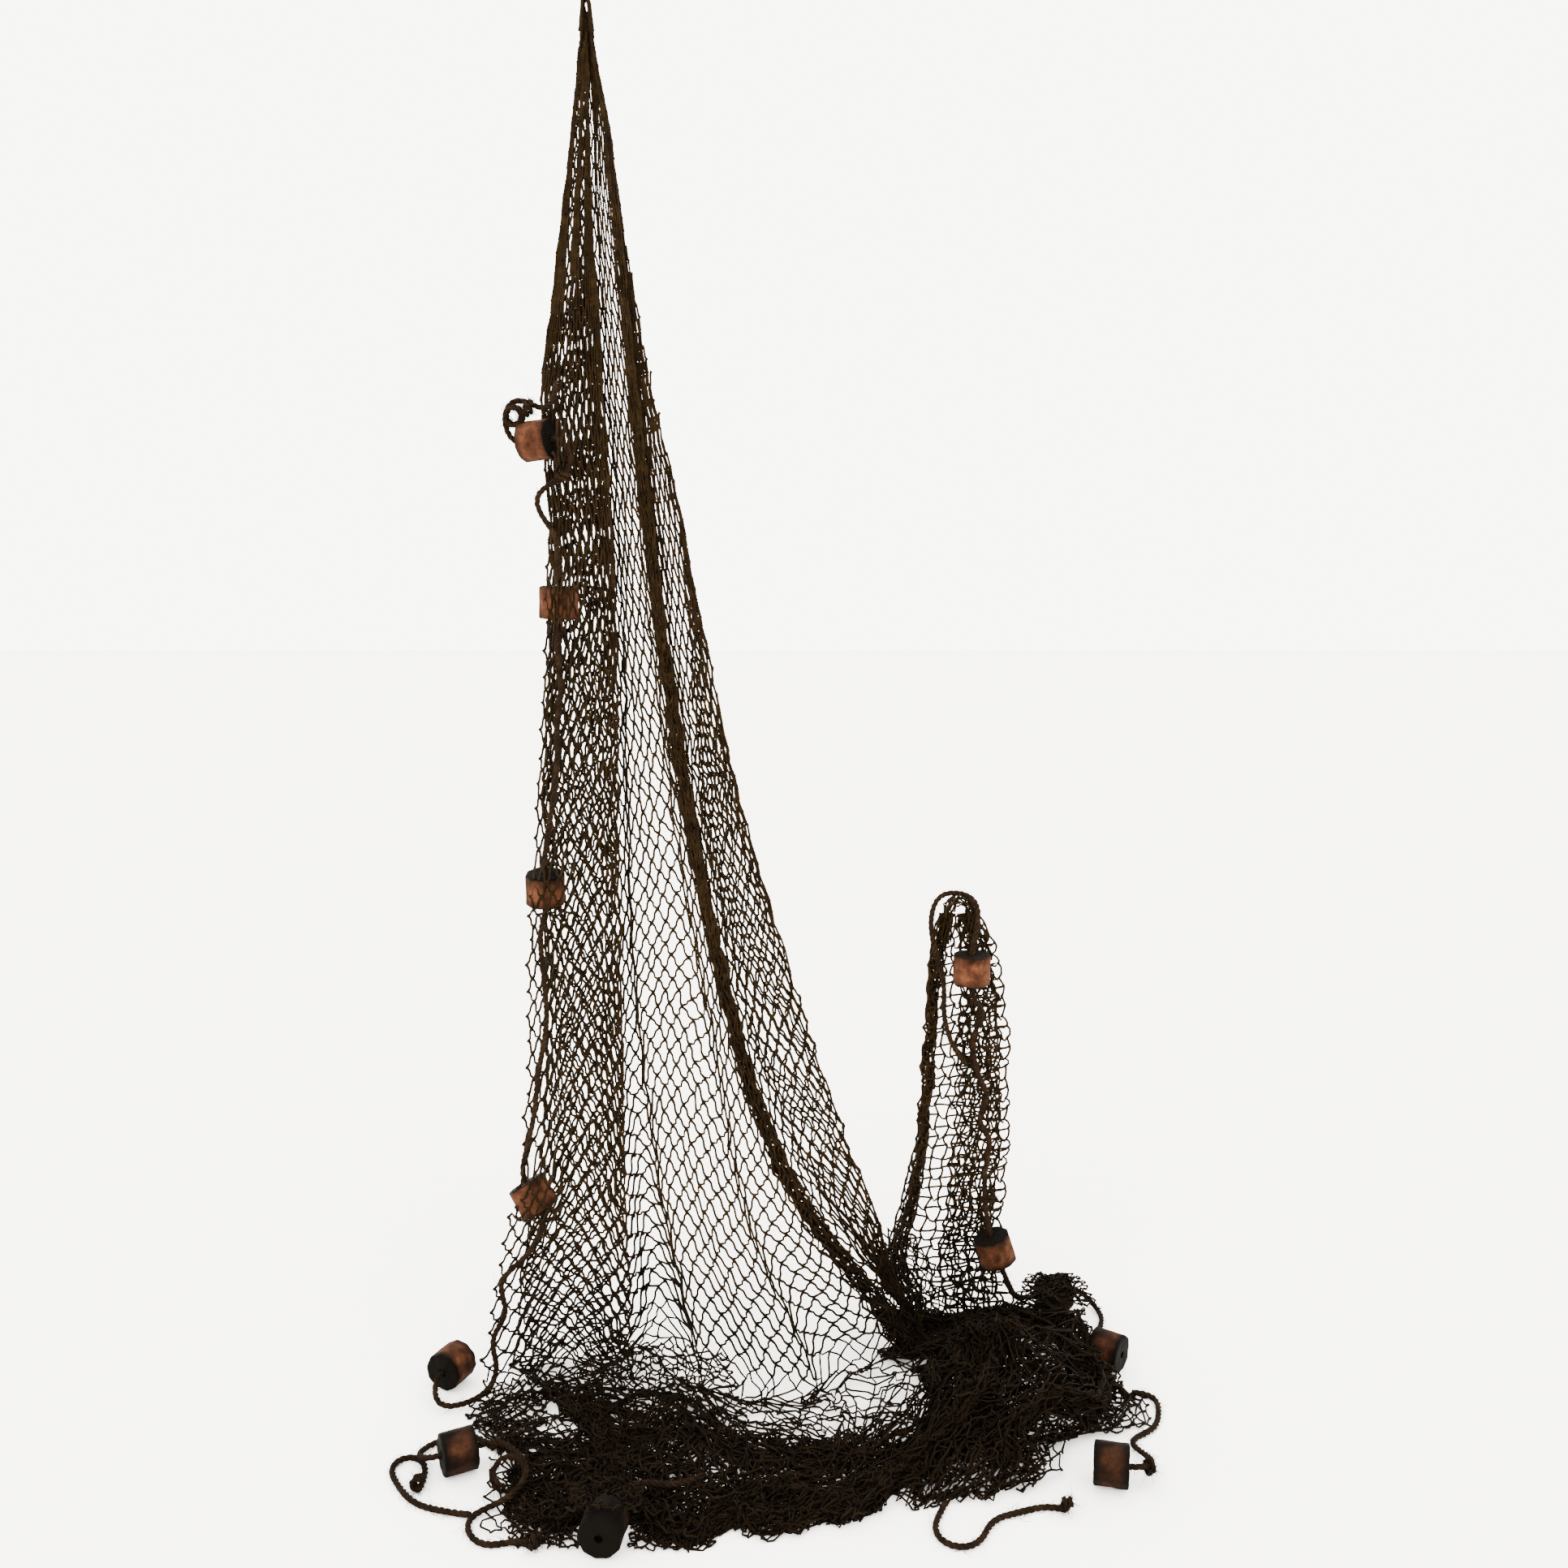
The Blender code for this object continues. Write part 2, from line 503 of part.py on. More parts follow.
# The float line, in stretches between the floats. A stretch leaves the bore of its
# first float, passes its own points and enters the bore of its last one. A side of +1
# is the end that the bore points to, and None stands for an end without a float.
Stretch = namedtuple("Stretch", "name first last points")
STRETCHES = (
    Stretch(
        "line_01",
        ("float_01", -1),
        None,
        (
            (-0.116, -0.079, -0.592),
            (-0.116, -0.074, -0.562),
            (-0.102, -0.070, -0.544),
            (-0.084, -0.072, -0.556),
            (-0.068, -0.066, -0.564),
            (-0.052, -0.053, -0.545),
            (-0.050, -0.0465, -0.520),
        ),
    ),
    Stretch(
        "line_02",
        ("float_01", 1),
        ("float_02", 1),
        (
            (-0.040, -0.087, -0.630),
            (-0.060, -0.074, -0.652),
            (-0.078, -0.072, -0.682),
            (-0.069, -0.073, -0.714),
            (-0.050, -0.078, -0.742),
            (-0.048, -0.092, -0.775),
        ),
    ),
    Stretch(
        "line_03",
        ("float_02", -1),
        ("float_03", 1),
        (
            (-0.050, -0.104, -0.900),
            (-0.046, -0.100, -0.950),
            (-0.052, -0.107, -1.010),
            (-0.053, -0.119, -1.080),
            (-0.061, -0.132, -1.140),
            (-0.066, -0.148, -1.178),
        ),
    ),
    Stretch(
        "line_04",
        ("float_03", -1),
        ("float_04", 1),
        (
            (-0.076, -0.166, -1.310),
            (-0.073, -0.166, -1.370),
            (-0.069, -0.1766, -1.440),
            (-0.080, -0.1904, -1.510),
            (-0.086, -0.205, -1.570),
            (-0.094, -0.221, -1.612),
        ),
    ),
    Stretch(
        "line_05",
        ("float_04", -1),
        ("float_05", -1),
        (
            (-0.080, -0.264, -1.745),
            (-0.102, -0.256, -1.775),
            (-0.134, -0.261, -1.810),
            (-0.124, -0.268, -1.850),
            (-0.146, -0.274, -1.890),
            (-0.138, -0.283, -1.930),
            (-0.152, -0.301, -1.956),
            (-0.184, -0.320, FLOOR + 0.012),
            (-0.216, -0.322, FLOOR + 0.014),
        ),
    ),
    Stretch(
        "line_06",
        None,
        ("float_06", -1),
        (
            (-0.1182, -0.4108, CORD_ON_FLOOR),
            (-0.145, -0.388, CORD_ON_FLOOR),
            (-0.170, -0.382, CORD_ON_FLOOR),
            (-0.198, -0.396, CORD_ON_FLOOR),
            (-0.214, -0.424, CORD_ON_FLOOR + 0.006),
            (-0.208, -0.452, CORD_ON_FLOOR + 0.016),
        ),
    ),
    Stretch(
        "line_07",
        ("float_06", 1),
        None,
        (
            (-0.104, -0.440, FLOOR + 0.034),
            (-0.078, -0.458, FLOOR + 0.030),
            (-0.060, -0.488, FLOOR + 0.028),
            (-0.068, -0.522, FLOOR + 0.020),
            (-0.096, -0.536, FLOOR + 0.010),
            (-0.122, -0.552, CORD_ON_FLOOR),
            (-0.112, -0.588, CORD_ON_FLOOR),
            (-0.084, -0.604, CORD_ON_FLOOR),
            (-0.056, -0.594, CORD_ON_FLOOR),
            (-0.030, -0.606, CORD_ON_FLOOR),
        ),
    ),
    Stretch(
        "line_08",
        ("float_07", 1),
        None,
        (
            (0.070, -0.534, FLOOR + 0.031),
            (0.090, -0.522, FLOOR + 0.032),
            (0.115, -0.524, FLOOR + 0.033),
            (0.140, -0.524, FLOOR + 0.0310),
            (0.172, -0.508, FLOOR + 0.0326),
        ),
    ),
    Stretch(
        "line_09",
        ("float_08", 1),
        None,
        (
            (0.764, -0.476, FLOOR + 0.026),
            (0.772, -0.444, FLOOR + 0.014),
            (0.758, -0.398, CORD_ON_FLOOR),
            (0.776, -0.382, CORD_ON_FLOOR),
            (0.800, -0.362, CORD_ON_FLOOR),
            (0.814, -0.325, CORD_ON_FLOOR),
            (0.816, -0.290, CORD_ON_FLOOR),
            (0.7875, -0.2793, CORD_ON_FLOOR),
        ),
    ),
    Stretch(
        "line_10",
        ("float_10", 1),
        ("float_09", -1),
        (
            (0.760, -0.026, FLOOR + 0.022),
            (0.784, -0.050, CORD_ON_FLOOR),
            (0.782, -0.095, CORD_ON_FLOOR),
            (0.758, -0.136, CORD_ON_FLOOR + 0.002),
            (0.738, -0.168, CORD_ON_FLOOR + 0.012),
        ),
    ),
    Stretch(
        "line_11",
        ("float_12", -1),
        ("float_10", -1),
        (
            (0.628, -0.114, -1.886),
            (0.640, -0.108, -1.914),
            (0.652, -0.086, -1.930),
            (0.666, -0.064, -1.944),
        ),
    ),
    Stretch(
        "line_12",
        ("float_11", -1),
        ("float_12", 1),
        (
            (0.572, -0.078, -1.446),
            (0.588, -0.070, -1.465),
            (0.574, -0.068, -1.490),
            (0.573, -0.068, -1.528),
            (0.580, -0.070, -1.565),
            (0.597, -0.070, -1.602),
            (0.580, -0.074, -1.636),
            (0.601, -0.076, -1.664),
            (0.595, -0.080, -1.700),
            (0.592, -0.090, -1.748),
        ),
    ),
    Stretch(
        "line_13",
        ("float_11", 1),
        None,
        (
            (0.574, -0.066, -1.330),
            (0.575, -0.053, -1.300),
            (0.564, -0.038, -1.2859),
            (0.547, -0.031, -1.2862),
            (0.529, -0.033, -1.2835),
            (0.512, -0.044, -1.295),
            (0.504, -0.058, -1.330),
            (0.512, -0.064, -1.370),
            (0.524, -0.062, -1.410),
            (0.528, -0.062, -1.480),
            (0.546, -0.066, -1.528),
            (0.562, -0.068, -1.548),
        ),
    ),
    Stretch(
        "tail_left",
        None,
        None,
        (
            (-0.1223, -0.546, CORD_ON_FLOOR),
            (-0.142, -0.544, CORD_ON_FLOOR),
            (-0.162, -0.537, CORD_ON_FLOOR),
            (-0.186, -0.531, CORD_ON_FLOOR),
            (-0.212, -0.512, CORD_ON_FLOOR),
            (-0.232, -0.484, CORD_ON_FLOOR),
            (-0.248, -0.456, CORD_ON_FLOOR),
            (-0.240, -0.434, CORD_ON_FLOOR),
            (-0.220, -0.444, CORD_ON_FLOOR),
            (-0.207, -0.468, CORD_ON_FLOOR),
            (-0.203, -0.494, CORD_ON_FLOOR),
        ),
    ),
    Stretch(
        "tail_right",
        None,
        None,
        (
            (0.489, -0.5224, CORD_ON_FLOOR),
            (0.478, -0.548, CORD_ON_FLOOR),
            (0.470, -0.572, CORD_ON_FLOOR),
            (0.480, -0.598, CORD_ON_FLOOR),
            (0.506, -0.606, CORD_ON_FLOOR),
            (0.528, -0.590, CORD_ON_FLOOR),
            (0.540, -0.564, CORD_ON_FLOOR),
            (0.562, -0.548, CORD_ON_FLOOR),
            (0.590, -0.540, CORD_ON_FLOOR),
            (0.616, -0.530, CORD_ON_FLOOR),
            (0.642, -0.536, CORD_ON_FLOOR),
        ),
    ),
)
STRAIGHT_OUT = 0.012
POINT_SPACING = 0.018


def bore_point(end, beyond):
    """A point on a float's bore line, this far outside the face that the end names."""
    name, side = end
    row = next(row for row in FLOATS if row.name == name)
    way = Vector(row.bore).normalized() * side
    return Vector(row.middle) + way * (FLOAT_LENGTH / 2 + beyond)


ROUTE_STEPS = 20


def smooth_route(stretch):
    """Evenly spaced points on a smooth curve through the stretch's own points."""
    knots = [Vector(point) for point in stretch.points]
    if stretch.first:
        knots.insert(0, bore_point(stretch.first, STRAIGHT_OUT))
    if stretch.last:
        knots.append(bore_point(stretch.last, STRAIGHT_OUT))
    pieces = ROUTE_STEPS * (len(knots) - 1)
    fine = [smooth_place(knots, step / pieces) for step in range(pieces + 1)]
    for point in fine:
        point.z = max(point.z, CORD_ON_FLOOR)
    lengths = [0.0]
    for start, end in zip(fine, fine[1:]):
        lengths.append(lengths[-1] + (end - start).length)
    count = max(3, round(lengths[-1] / POINT_SPACING))
    route = []
    index = 0
    for step in range(count + 1):
        target = lengths[-1] * step / count
        while index < len(fine) - 2 and lengths[index + 1] < target:
            index += 1
        share = (target - lengths[index]) / (lengths[index + 1] - lengths[index])
        route.append(fine[index].lerp(fine[index + 1], share))
    if stretch.first:
        route.insert(0, bore_point(stretch.first, CLEARANCE))
    if stretch.last:
        route.append(bore_point(stretch.last, CLEARANCE))
    return route


def build_stretch(stretch, material):
    """One plain tube of the float line."""
    route = smooth_route(stretch)
    curve = bpy.data.curves.new(stretch.name, "CURVE")
    curve.dimensions = "3D"
    curve.bevel_depth = CORD_DIAMETER / 2
    curve.bevel_resolution = 2
    curve.use_fill_caps = True
    spline = curve.splines.new("POLY")
    spline.points.add(len(route) - 1)
    for point, place in zip(spline.points, route):
        point.co = (*place, 1.0)
    curve.materials.append(material)
    tube = bpy.data.objects.new(stretch.name, curve)
    bpy.context.collection.objects.link(tube)
    return tube


def main():
    for thing in list(bpy.data.objects):
        bpy.data.objects.remove(thing)
    twine = plain_material("tarred_twine", (0.045, 0.027, 0.015), 0.85)
    cork = plain_material("cork", (0.22, 0.075, 0.04), 0.8)
    rope = plain_material("coir_rope", (0.030, 0.014, 0.009), 0.9)
    build_netting(twine)
    for row in FLOATS:
        build_float(row, cork)
    for stretch in STRETCHES:
        build_stretch(stretch, rope)


main()
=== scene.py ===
"""Looks of a hung gill net: knotted tarred twine, a laid hairy rope and cork floats.

Metres, +Z up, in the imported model's own frame. The origin is the eye that the net hangs
from, the wall is on the +Y side and the foot of the net lies on the surface at FLOOR.
"""

import math
from collections import namedtuple

import bmesh
import bpy
import numpy as np
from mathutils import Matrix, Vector, noise


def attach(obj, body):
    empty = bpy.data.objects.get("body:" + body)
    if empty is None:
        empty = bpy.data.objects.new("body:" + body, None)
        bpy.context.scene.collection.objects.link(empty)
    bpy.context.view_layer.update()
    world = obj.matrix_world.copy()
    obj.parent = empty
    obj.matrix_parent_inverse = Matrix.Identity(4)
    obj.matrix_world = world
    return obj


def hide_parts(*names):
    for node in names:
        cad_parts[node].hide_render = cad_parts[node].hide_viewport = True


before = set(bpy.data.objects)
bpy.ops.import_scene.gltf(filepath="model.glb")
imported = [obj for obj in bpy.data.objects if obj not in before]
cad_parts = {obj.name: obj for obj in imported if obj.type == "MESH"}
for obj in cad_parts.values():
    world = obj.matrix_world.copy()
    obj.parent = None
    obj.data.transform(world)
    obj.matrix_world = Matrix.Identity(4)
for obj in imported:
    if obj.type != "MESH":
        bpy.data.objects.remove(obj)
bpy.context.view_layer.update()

bl_info = {
    "name": "Hung gill net",
    "version": (1, 0, 0),
    "blender": (4, 5, 0),
    "location": "View3D > Sidebar > Net",
    "description": "Knots the netting, lays the rope and threads the cork floats",
    "category": "Object",
}

# Driving dimensions, in metres
HANG_HEIGHT = 1.975
FLOOR = -HANG_HEIGHT
ROPE = 0.008
TWINE = 0.0025
BAR = 0.0205
FLOAT_DIAMETER = 0.058
FLOAT_LENGTH = 0.046
LYING = FLOOR + ROPE / 2 + 0.0005  # the middle of rope that lies on the surface
FLOAT_ON_FLOOR = FLOOR + FLOAT_DIAMETER / 2 + 0.0005

# The hang, as level sections: drop below the eye, x of the left edge, the strong fold,
# both sides of the tight bunch and the right edge, the lean away from the wall, the
# depth of the pleats and how far the open panel billows.
Section = namedtuple("Section", "drop left fold bunch_in bunch_out right lean gape billow")
MAIN_HANG = (
    Section(0.004, -0.0045, -0.001, 0.0025, 0.0035, 0.0045, 0.000, 0.007, 0.000),
    Section(0.026, -0.0075, 0.001, 0.0050, 0.0070, 0.0085, 0.000, 0.009, 0.000),
    Section(0.070, -0.0130, 0.002, 0.0090, 0.0130, 0.0150, 0.000, 0.012, 0.000),
    Section(0.160, -0.025, 0.004, 0.023, 0.029, 0.033, 0.002, 0.014, 0.000),
    Section(0.270, -0.040, 0.005, 0.030, 0.041, 0.052, 0.006, 0.018, 0.001),
    Section(0.420, -0.060, 0.012, 0.044, 0.054, 0.077, 0.013, 0.022, 0.003),
    Section(0.550, -0.075, 0.018, 0.054, 0.067, 0.096, 0.020, 0.026, 0.004),
    Section(0.730, -0.066, 0.028, 0.071, 0.087, 0.130, 0.033, 0.032, 0.006),
    Section(0.900, -0.070, 0.034, 0.090, 0.108, 0.163, 0.047, 0.038, 0.008),
    Section(1.100, -0.082, 0.035, 0.118, 0.138, 0.206, 0.070, 0.045, 0.012),
    Section(1.310, -0.095, 0.038, 0.157, 0.176, 0.264, 0.098, 0.052, 0.020),
    Section(1.540, -0.098, 0.042, 0.209, 0.234, 0.335, 0.130, 0.062, 0.038),
    Section(1.670, -0.111, 0.045, 0.256, 0.286, 0.383, 0.150, 0.070, 0.055),
    Section(1.770, -0.134, 0.050, 0.310, 0.348, 0.424, 0.165, 0.078, 0.075),
    Section(1.870, -0.150, 0.055, 0.385, 0.430, 0.452, 0.178, 0.085, 0.095),
    Section(1.962, -0.158, 0.060, 0.440, 0.490, 0.500, 0.190, 0.090, 0.115),
)

# Thin creases in the open panel: the share of the panel's width that each one lies at,
# and how wide the tuck is.
Creases = namedtuple("Creases", "drop gusset_end strip_start tuck")
CREASES = (
    Creases(0.004, 0.10, 0.90, 0.0002),
    Creases(0.070, 0.10, 0.90, 0.0010),
    Creases(0.730, 0.10, 0.88, 0.0025),
    Creases(1.310, 0.07, 0.87, 0.0040),
    Creases(1.540, 0.15, 0.83, 0.0060),
    Creases(1.670, 0.20, 0.76, 0.0070),
    Creases(1.770, 0.22, 0.72, 0.0080),
    Creases(1.962, 0.24, 0.70, 0.0090),
)

# How many meshes lie across each fold at each drop. The meshes slip out of the bunch and
# the pleats into the open panel on the way down.
Meshes = namedtuple("Meshes", "drop pleat gusset tuck panel strip bunch flap back")
MAIN_MESHES = (
    Meshes(0.004, 7.2, 0.2, 0.2, 1.8, 0.2, 1.3, 3.8, 3.8),
    Meshes(0.300, 7.2, 0.2, 0.2, 2.0, 0.2, 1.3, 3.8, 3.8),
    Meshes(0.730, 7.2, 0.2, 0.3, 2.4, 0.3, 1.9, 4.4, 4.4),
    Meshes(1.250, 7.1, 0.5, 0.7, 4.0, 0.7, 2.9, 5.6, 5.8),
    Meshes(1.540, 7.9, 1.2, 0.9, 5.4, 1.6, 2.4, 5.7, 5.9),
    Meshes(1.770, 8.4, 2.6, 1.1, 6.9, 3.4, 1.8, 5.5, 5.7),
    Meshes(1.962, 8.6, 3.6, 1.2, 8.3, 4.6, 1.4, 5.2, 5.4),
)
MAIN_COLUMNS = 52

# The side hang in the same way, with the width of the tight band at its left edge.
SideSection = namedtuple("SideSection", "drop left band right lean gape")
SIDE_HANG = (
    SideSection(1.312, 0.518, 0.016, 0.576, 0.030, 0.010),
    SideSection(1.345, 0.510, 0.020, 0.600, 0.031, 0.016),
    SideSection(1.440, 0.504, 0.018, 0.618, 0.034, 0.024),
    SideSection(1.565, 0.498, 0.016, 0.627, 0.040, 0.032),
    SideSection(1.665, 0.491, 0.017, 0.628, 0.046, 0.038),
    SideSection(1.730, 0.481, 0.019, 0.625, 0.052, 0.042),
    SideSection(1.800, 0.468, 0.023, 0.622, 0.060, 0.046),
    SideSection(1.870, 0.446, 0.028, 0.626, 0.070, 0.050),
    SideSection(1.962, 0.470, 0.032, 0.636, 0.080, 0.052),
)

# Its upright strands in each fold, its rows, where a bar bends, how far the knots sway
# from side to side, and how far the strands bow where they are close, loose and at edges.
SIDE_LINES = (5, 5, 9, 7, 7)
SIDE_ROWS = 40
BAR_BENDS = (0.28, 0.72)
SIDE_SWAY = 0.0024
SIDE_BOW = (0.0016, 0.0036)
EDGE_BOW = 0.0040

# The netting's edges on the surface, seen from above.
LEFT_EDGE = (
    (-0.158, -0.280), (-0.172, -0.345), (-0.104, -0.420), (-0.090, -0.490), (-0.070, -0.545),
)
RIGHT_EDGE = (
    (0.560, -0.055), (0.640, -0.062), (0.722, -0.082), (0.766, -0.120), (0.772, -0.200),
    (0.776, -0.262), (0.798, -0.292), (0.772, -0.362), (0.700, -0.388), (0.655, -0.430),
    (0.632, -0.478), (0.590, -0.505),
)
FRONT_EDGE = (
    (-0.070, -0.545), (-0.020, -0.580), (0.015, -0.560), (0.055, -0.525), (0.100, -0.580),
    (0.150, -0.607), (0.205, -0.572), (0.260, -0.586), (0.315, -0.560), (0.350, -0.562),
    (0.385, -0.508), (0.450, -0.528), (0.520, -0.508), (0.590, -0.505),
)

# The heap's mounds: middle, reach, height and how square their shoulders are.
Mound = namedtuple("Mound", "x y reach_x reach_y height shoulder")
MOUNDS = (
    Mound(0.600, -0.305, 0.165, 0.190, 0.085, 1.5),
    Mound(0.692, -0.160, 0.118, 0.112, 0.074, 2.6),
)
RUCK_HEIGHT = 0.012
POOL_HEIGHT = 0.028

# Rows of the netting, counted in half meshes: where its upper piece, the hang and the
# pool end, and the rows and columns that its cut corners lack.
MIDDLE_ROW = 50
FOOT_ROW = 101
LAST_ROW = 129
LEFT_CORNER_ROWS = 38
RIGHT_CORNER_ROWS = 58
CORNER_LEFT = 22
CORNER_RIGHT = 24

# The levels that the rows are laid on: the first one's drop, the step from one to the
# next in the hang, and how many lie on the surface.
TOP_DROP = 0.006
LEVEL_STEP = 0.004
POOL_LEVELS = 120

# Shares of the pile's height: at the feet of the hangs, and of the pool under the layers.
FOOT_RISE = 0.10
UNDER_LAYERS = 0.80
EDGE_FALL = (7, 7, 14)  # how steeply the pile falls at its front, left and right edges

# Slack that moves the knots: how far, over what wavelength and its seed. Each layer and
# each patch has a seed of its own.
Slack = namedtuple("Slack", "amount wavelength seed")
NET_SLACK = Slack(0.0022, 0.060, 11)
POOL_SLACK = Slack(0.007, 0.090, 13)
POOL_RUCKS = Slack(0.005, 0.034, 14)
SIDE_SLACK = Slack(0.0035, 0.070, 16)
LAYER_SLACK = (0.009, 0.045)
PATCH_SLACK = (0.004, 0.040)

# How far each knot strays from that by chance.
STRAY_KNOT = 0.0006
STRAY_SIDE = 0.0012
STRAY_BUNCH = 0.0016
STRAY_PILE = 0.0040

# Loose layers in the pile: shares from the foot to the front edge, shares across, how
# high in the pile, half meshes both ways and how much a layer doubles back.
Layer = namedtuple("Layer", "shares across height rows columns fold seed")
HEAP_LAYERS = (
    Layer((0.05, 0.92), (0.62, 0.985), 1.00, 46, 46, 0.10, 31),
    Layer((0.00, 0.95), (0.60, 0.975), 0.88, 44, 44, 0.12, 32),
    Layer((0.03, 0.90), (0.61, 0.970), 0.74, 40, 40, 0.12, 37),
)
HEAP_CORE = (
    Layer((0.04, 0.95), (0.60, 0.980), 0.50, 36, 36, 0.10, 33),
    Layer((0.00, 0.97), (0.58, 0.985), 0.14, 36, 36, 0.08, 36),
)
BAND_LAYERS = (
    Layer((0.34, 0.97), (0.01, 0.66), 1.00, 24, 60, 0.09, 41),
    Layer((0.26, 0.95), (0.02, 0.68), 0.74, 24, 60, 0.11, 42),
    Layer((0.38, 0.95), (0.02, 0.68), 0.52, 22, 60, 0.11, 46),
)
BAND_CORE = (
    Layer((0.42, 0.92), (0.05, 0.68), 0.36, 20, 54, 0.10, 44),
    Layer((0.36, 0.97), (0.01, 0.68), 0.14, 22, 56, 0.08, 45),
)

# The tight bunch, as netting pleated between two edges: where it starts, half meshes both
# ways, how many pleats lie on each other and the share of the width that they take.
BUNCH_DROP = 0.50
BUNCH_ROWS = 74
BUNCH_COLUMNS = 22
BUNCH_PLEATS = 6.0
BUNCH_START = 0.12
BUNCH_WIDTH = 0.76

# Single patches of netting that lie inside a bend of the line or over a float: the back
# corners, the front corners and the meshes across. A corner without a height is low.
Patch = namedtuple("Patch", "back front meshes seed")
LOW = FLOOR + 0.004
PATCHES = (
    Patch(((0.730, -0.262), (0.806, -0.282)), ((0.735, -0.365), (0.800, -0.358)), 4, 71),
    Patch(((-0.120, -0.430), (0.000, -0.440)), ((-0.100, -0.580), (0.020, -0.600)), 6, 72),
    Patch(((-0.150, -0.250), (-0.070, -0.240)), ((-0.162, -0.365), (-0.060, -0.400)), 6, 77),
    Patch(((-0.145, -0.290), (-0.050, -0.270)), ((-0.165, -0.375), (-0.070, -0.400)), 6, 78),
    Patch(((-0.100, -0.400), (0.020, -0.440)), ((-0.060, -0.596), (0.000, -0.604)), 6, 73),
    Patch(((-0.010, -0.250, -1.900), (0.200, -0.290, -1.900)),
          ((-0.020, -0.330), (0.230, -0.365)), 10, 84),
    Patch(((0.005, -0.530, FLOOR + 0.042), (0.105, -0.530, FLOOR + 0.042)),
          ((0.018, -0.620, FLOOR + 0.062), (0.094, -0.616, FLOOR + 0.062)), 6, 74),
    Patch(((-0.070, -0.555), (0.024, -0.560)), ((-0.060, -0.600), (0.022, -0.612)), 5, 81),
    Patch(((0.084, -0.550), (0.200, -0.545)), ((0.088, -0.608), (0.190, -0.604)), 6, 82),
    Patch(((0.084, -0.530), (0.160, -0.530)), ((0.092, -0.600), (0.170, -0.606)), 6, 83),
    Patch(((0.682, -0.048, FLOOR + 0.062), (0.746, -0.038, FLOOR + 0.060)),
          ((0.664, -0.100, FLOOR + 0.050), (0.756, -0.110, FLOOR + 0.040)), 5, 75),
    Patch(((0.674, -0.050, FLOOR + 0.064), (0.752, -0.045, FLOOR + 0.060)),
          ((0.640, -0.130, FLOOR + 0.072), (0.770, -0.125, FLOOR + 0.052)), 7, 76),
    Patch(((0.408, -0.140, -1.810), (0.470, -0.084, -1.790)),
          ((0.440, -0.190, -1.930), (0.540, -0.120, -1.930)), 6, 79),
    Patch(((0.420, -0.120, -1.830), (0.474, -0.080, -1.820)),
          ((0.430, -0.200, -1.935), (0.560, -0.110, -1.925)), 6, 80),
)

# Where the twine is gathered over the nail: its middle, the radii of its loops, how many
# lie side by side in depth, the length of the legs and how far these spread.
Head = namedtuple("Head", "middle radii depth count leg spread rough")
MAIN_HEAD = Head((0.0, 0.0, 0.0), (0.0034, 0.0052), 0.008, 8, 0.044, 0.0050, 0.0002)
SIDE_HEAD = Head((0.551, -0.030, -1.312), (0.012, 0.018, 0.0235), 0.012, 4, 0.050, 0.004, 0.0022)

# Where the line is knotted or wound into a ring: its middle, the axis it winds round,
# the radius, how far it winds along the axis and how often.
Coil = namedtuple("Coil", "middle axis radius length turns")
COILS = (
    Coil((-0.104, -0.086, -0.572), (0.25, 1.0, 0.15), 0.0115, 0.010, 2.2),
    Coil((-0.086, -0.074, -0.560), (1.0, 0.3, 0.4), 0.0080, 0.014, 2.0),
    Coil((-0.036, -0.082, -0.652), (0.6, -0.3, 0.6), 0.0070, 0.012, 1.6),
    Coil((0.598, -0.094, -1.756), (0.2, 0.1, 1.0), 0.0075, 0.014, 2.1),
    Coil((-0.030, -0.606, FLOOR + 0.012), (1.0, 0.2, 0.0), 0.0065, 0.012, 1.8),
    Coil((-0.203, -0.494, FLOOR + 0.012), (0.2, 1.0, 0.0), 0.0065, 0.012, 1.8),
    Coil((0.642, -0.536, FLOOR + 0.012), (1.0, -0.2, 0.0), 0.0065, 0.014, 2.0),
    Coil((-0.104, -0.440, FLOOR + 0.030), (0.8, 0.4, 0.2), 0.0080, 0.010, 1.4),
    Coil((0.764, -0.476, FLOOR + 0.024), (0.9, 0.3, 0.0), 0.0080, 0.010, 1.4),
    Coil((-0.085, -0.491, FLOOR + 0.026), (0.1, -0.7, 0.7), 0.0200, 0.008, 1.3),
)

# The cork floats: name, middle, the way the bore points and how far soot and painted
# shade darken them.
Float = namedtuple("Float", "name middle bore soot")
FLOATS = (
    Float("float_01", (-0.072, -0.088, -0.606), (0.92, -0.30, 0.10), 0.20),
    Float("float_02", (-0.044, -0.110, -0.834), (0.04, 0.00, 1.00), 0.00),
    Float("float_03", (-0.065, -0.173, -1.240), (0.02, -0.14, 1.00), 0.15),
    Float("float_04", (-0.082, -0.255, -1.676), (-0.50, 0.20, 0.84), 0.10),
    Float("float_05", (-0.212, -0.250, FLOAT_ON_FLOOR), (0.42, 0.90, 0.00), 0.50),
    Float("float_06", (-0.158, -0.452, FLOAT_ON_FLOOR), (0.90, 0.42, 0.00), 0.78),
    Float("float_07", (0.055, -0.602, FLOAT_ON_FLOOR), (0.15, 0.98, 0.00), 0.94),
    Float("float_08", (0.712, -0.480, FLOAT_ON_FLOOR), (0.97, -0.22, 0.00), 0.80),
    Float("float_09", (0.766, -0.210, FLOAT_ON_FLOOR), (0.80, -0.58, 0.00), 0.72),
    Float("float_10", (0.715, -0.045, FLOAT_ON_FLOOR), (0.95, 0.30, 0.00), 0.90),
    Float("float_11", (0.565, -0.080, -1.390), (0.02, 0.00, 1.00), 0.00),
    Float("float_12", (0.606, -0.1185, -1.830), (-0.30, 0.00, 0.95), 0.30),
)

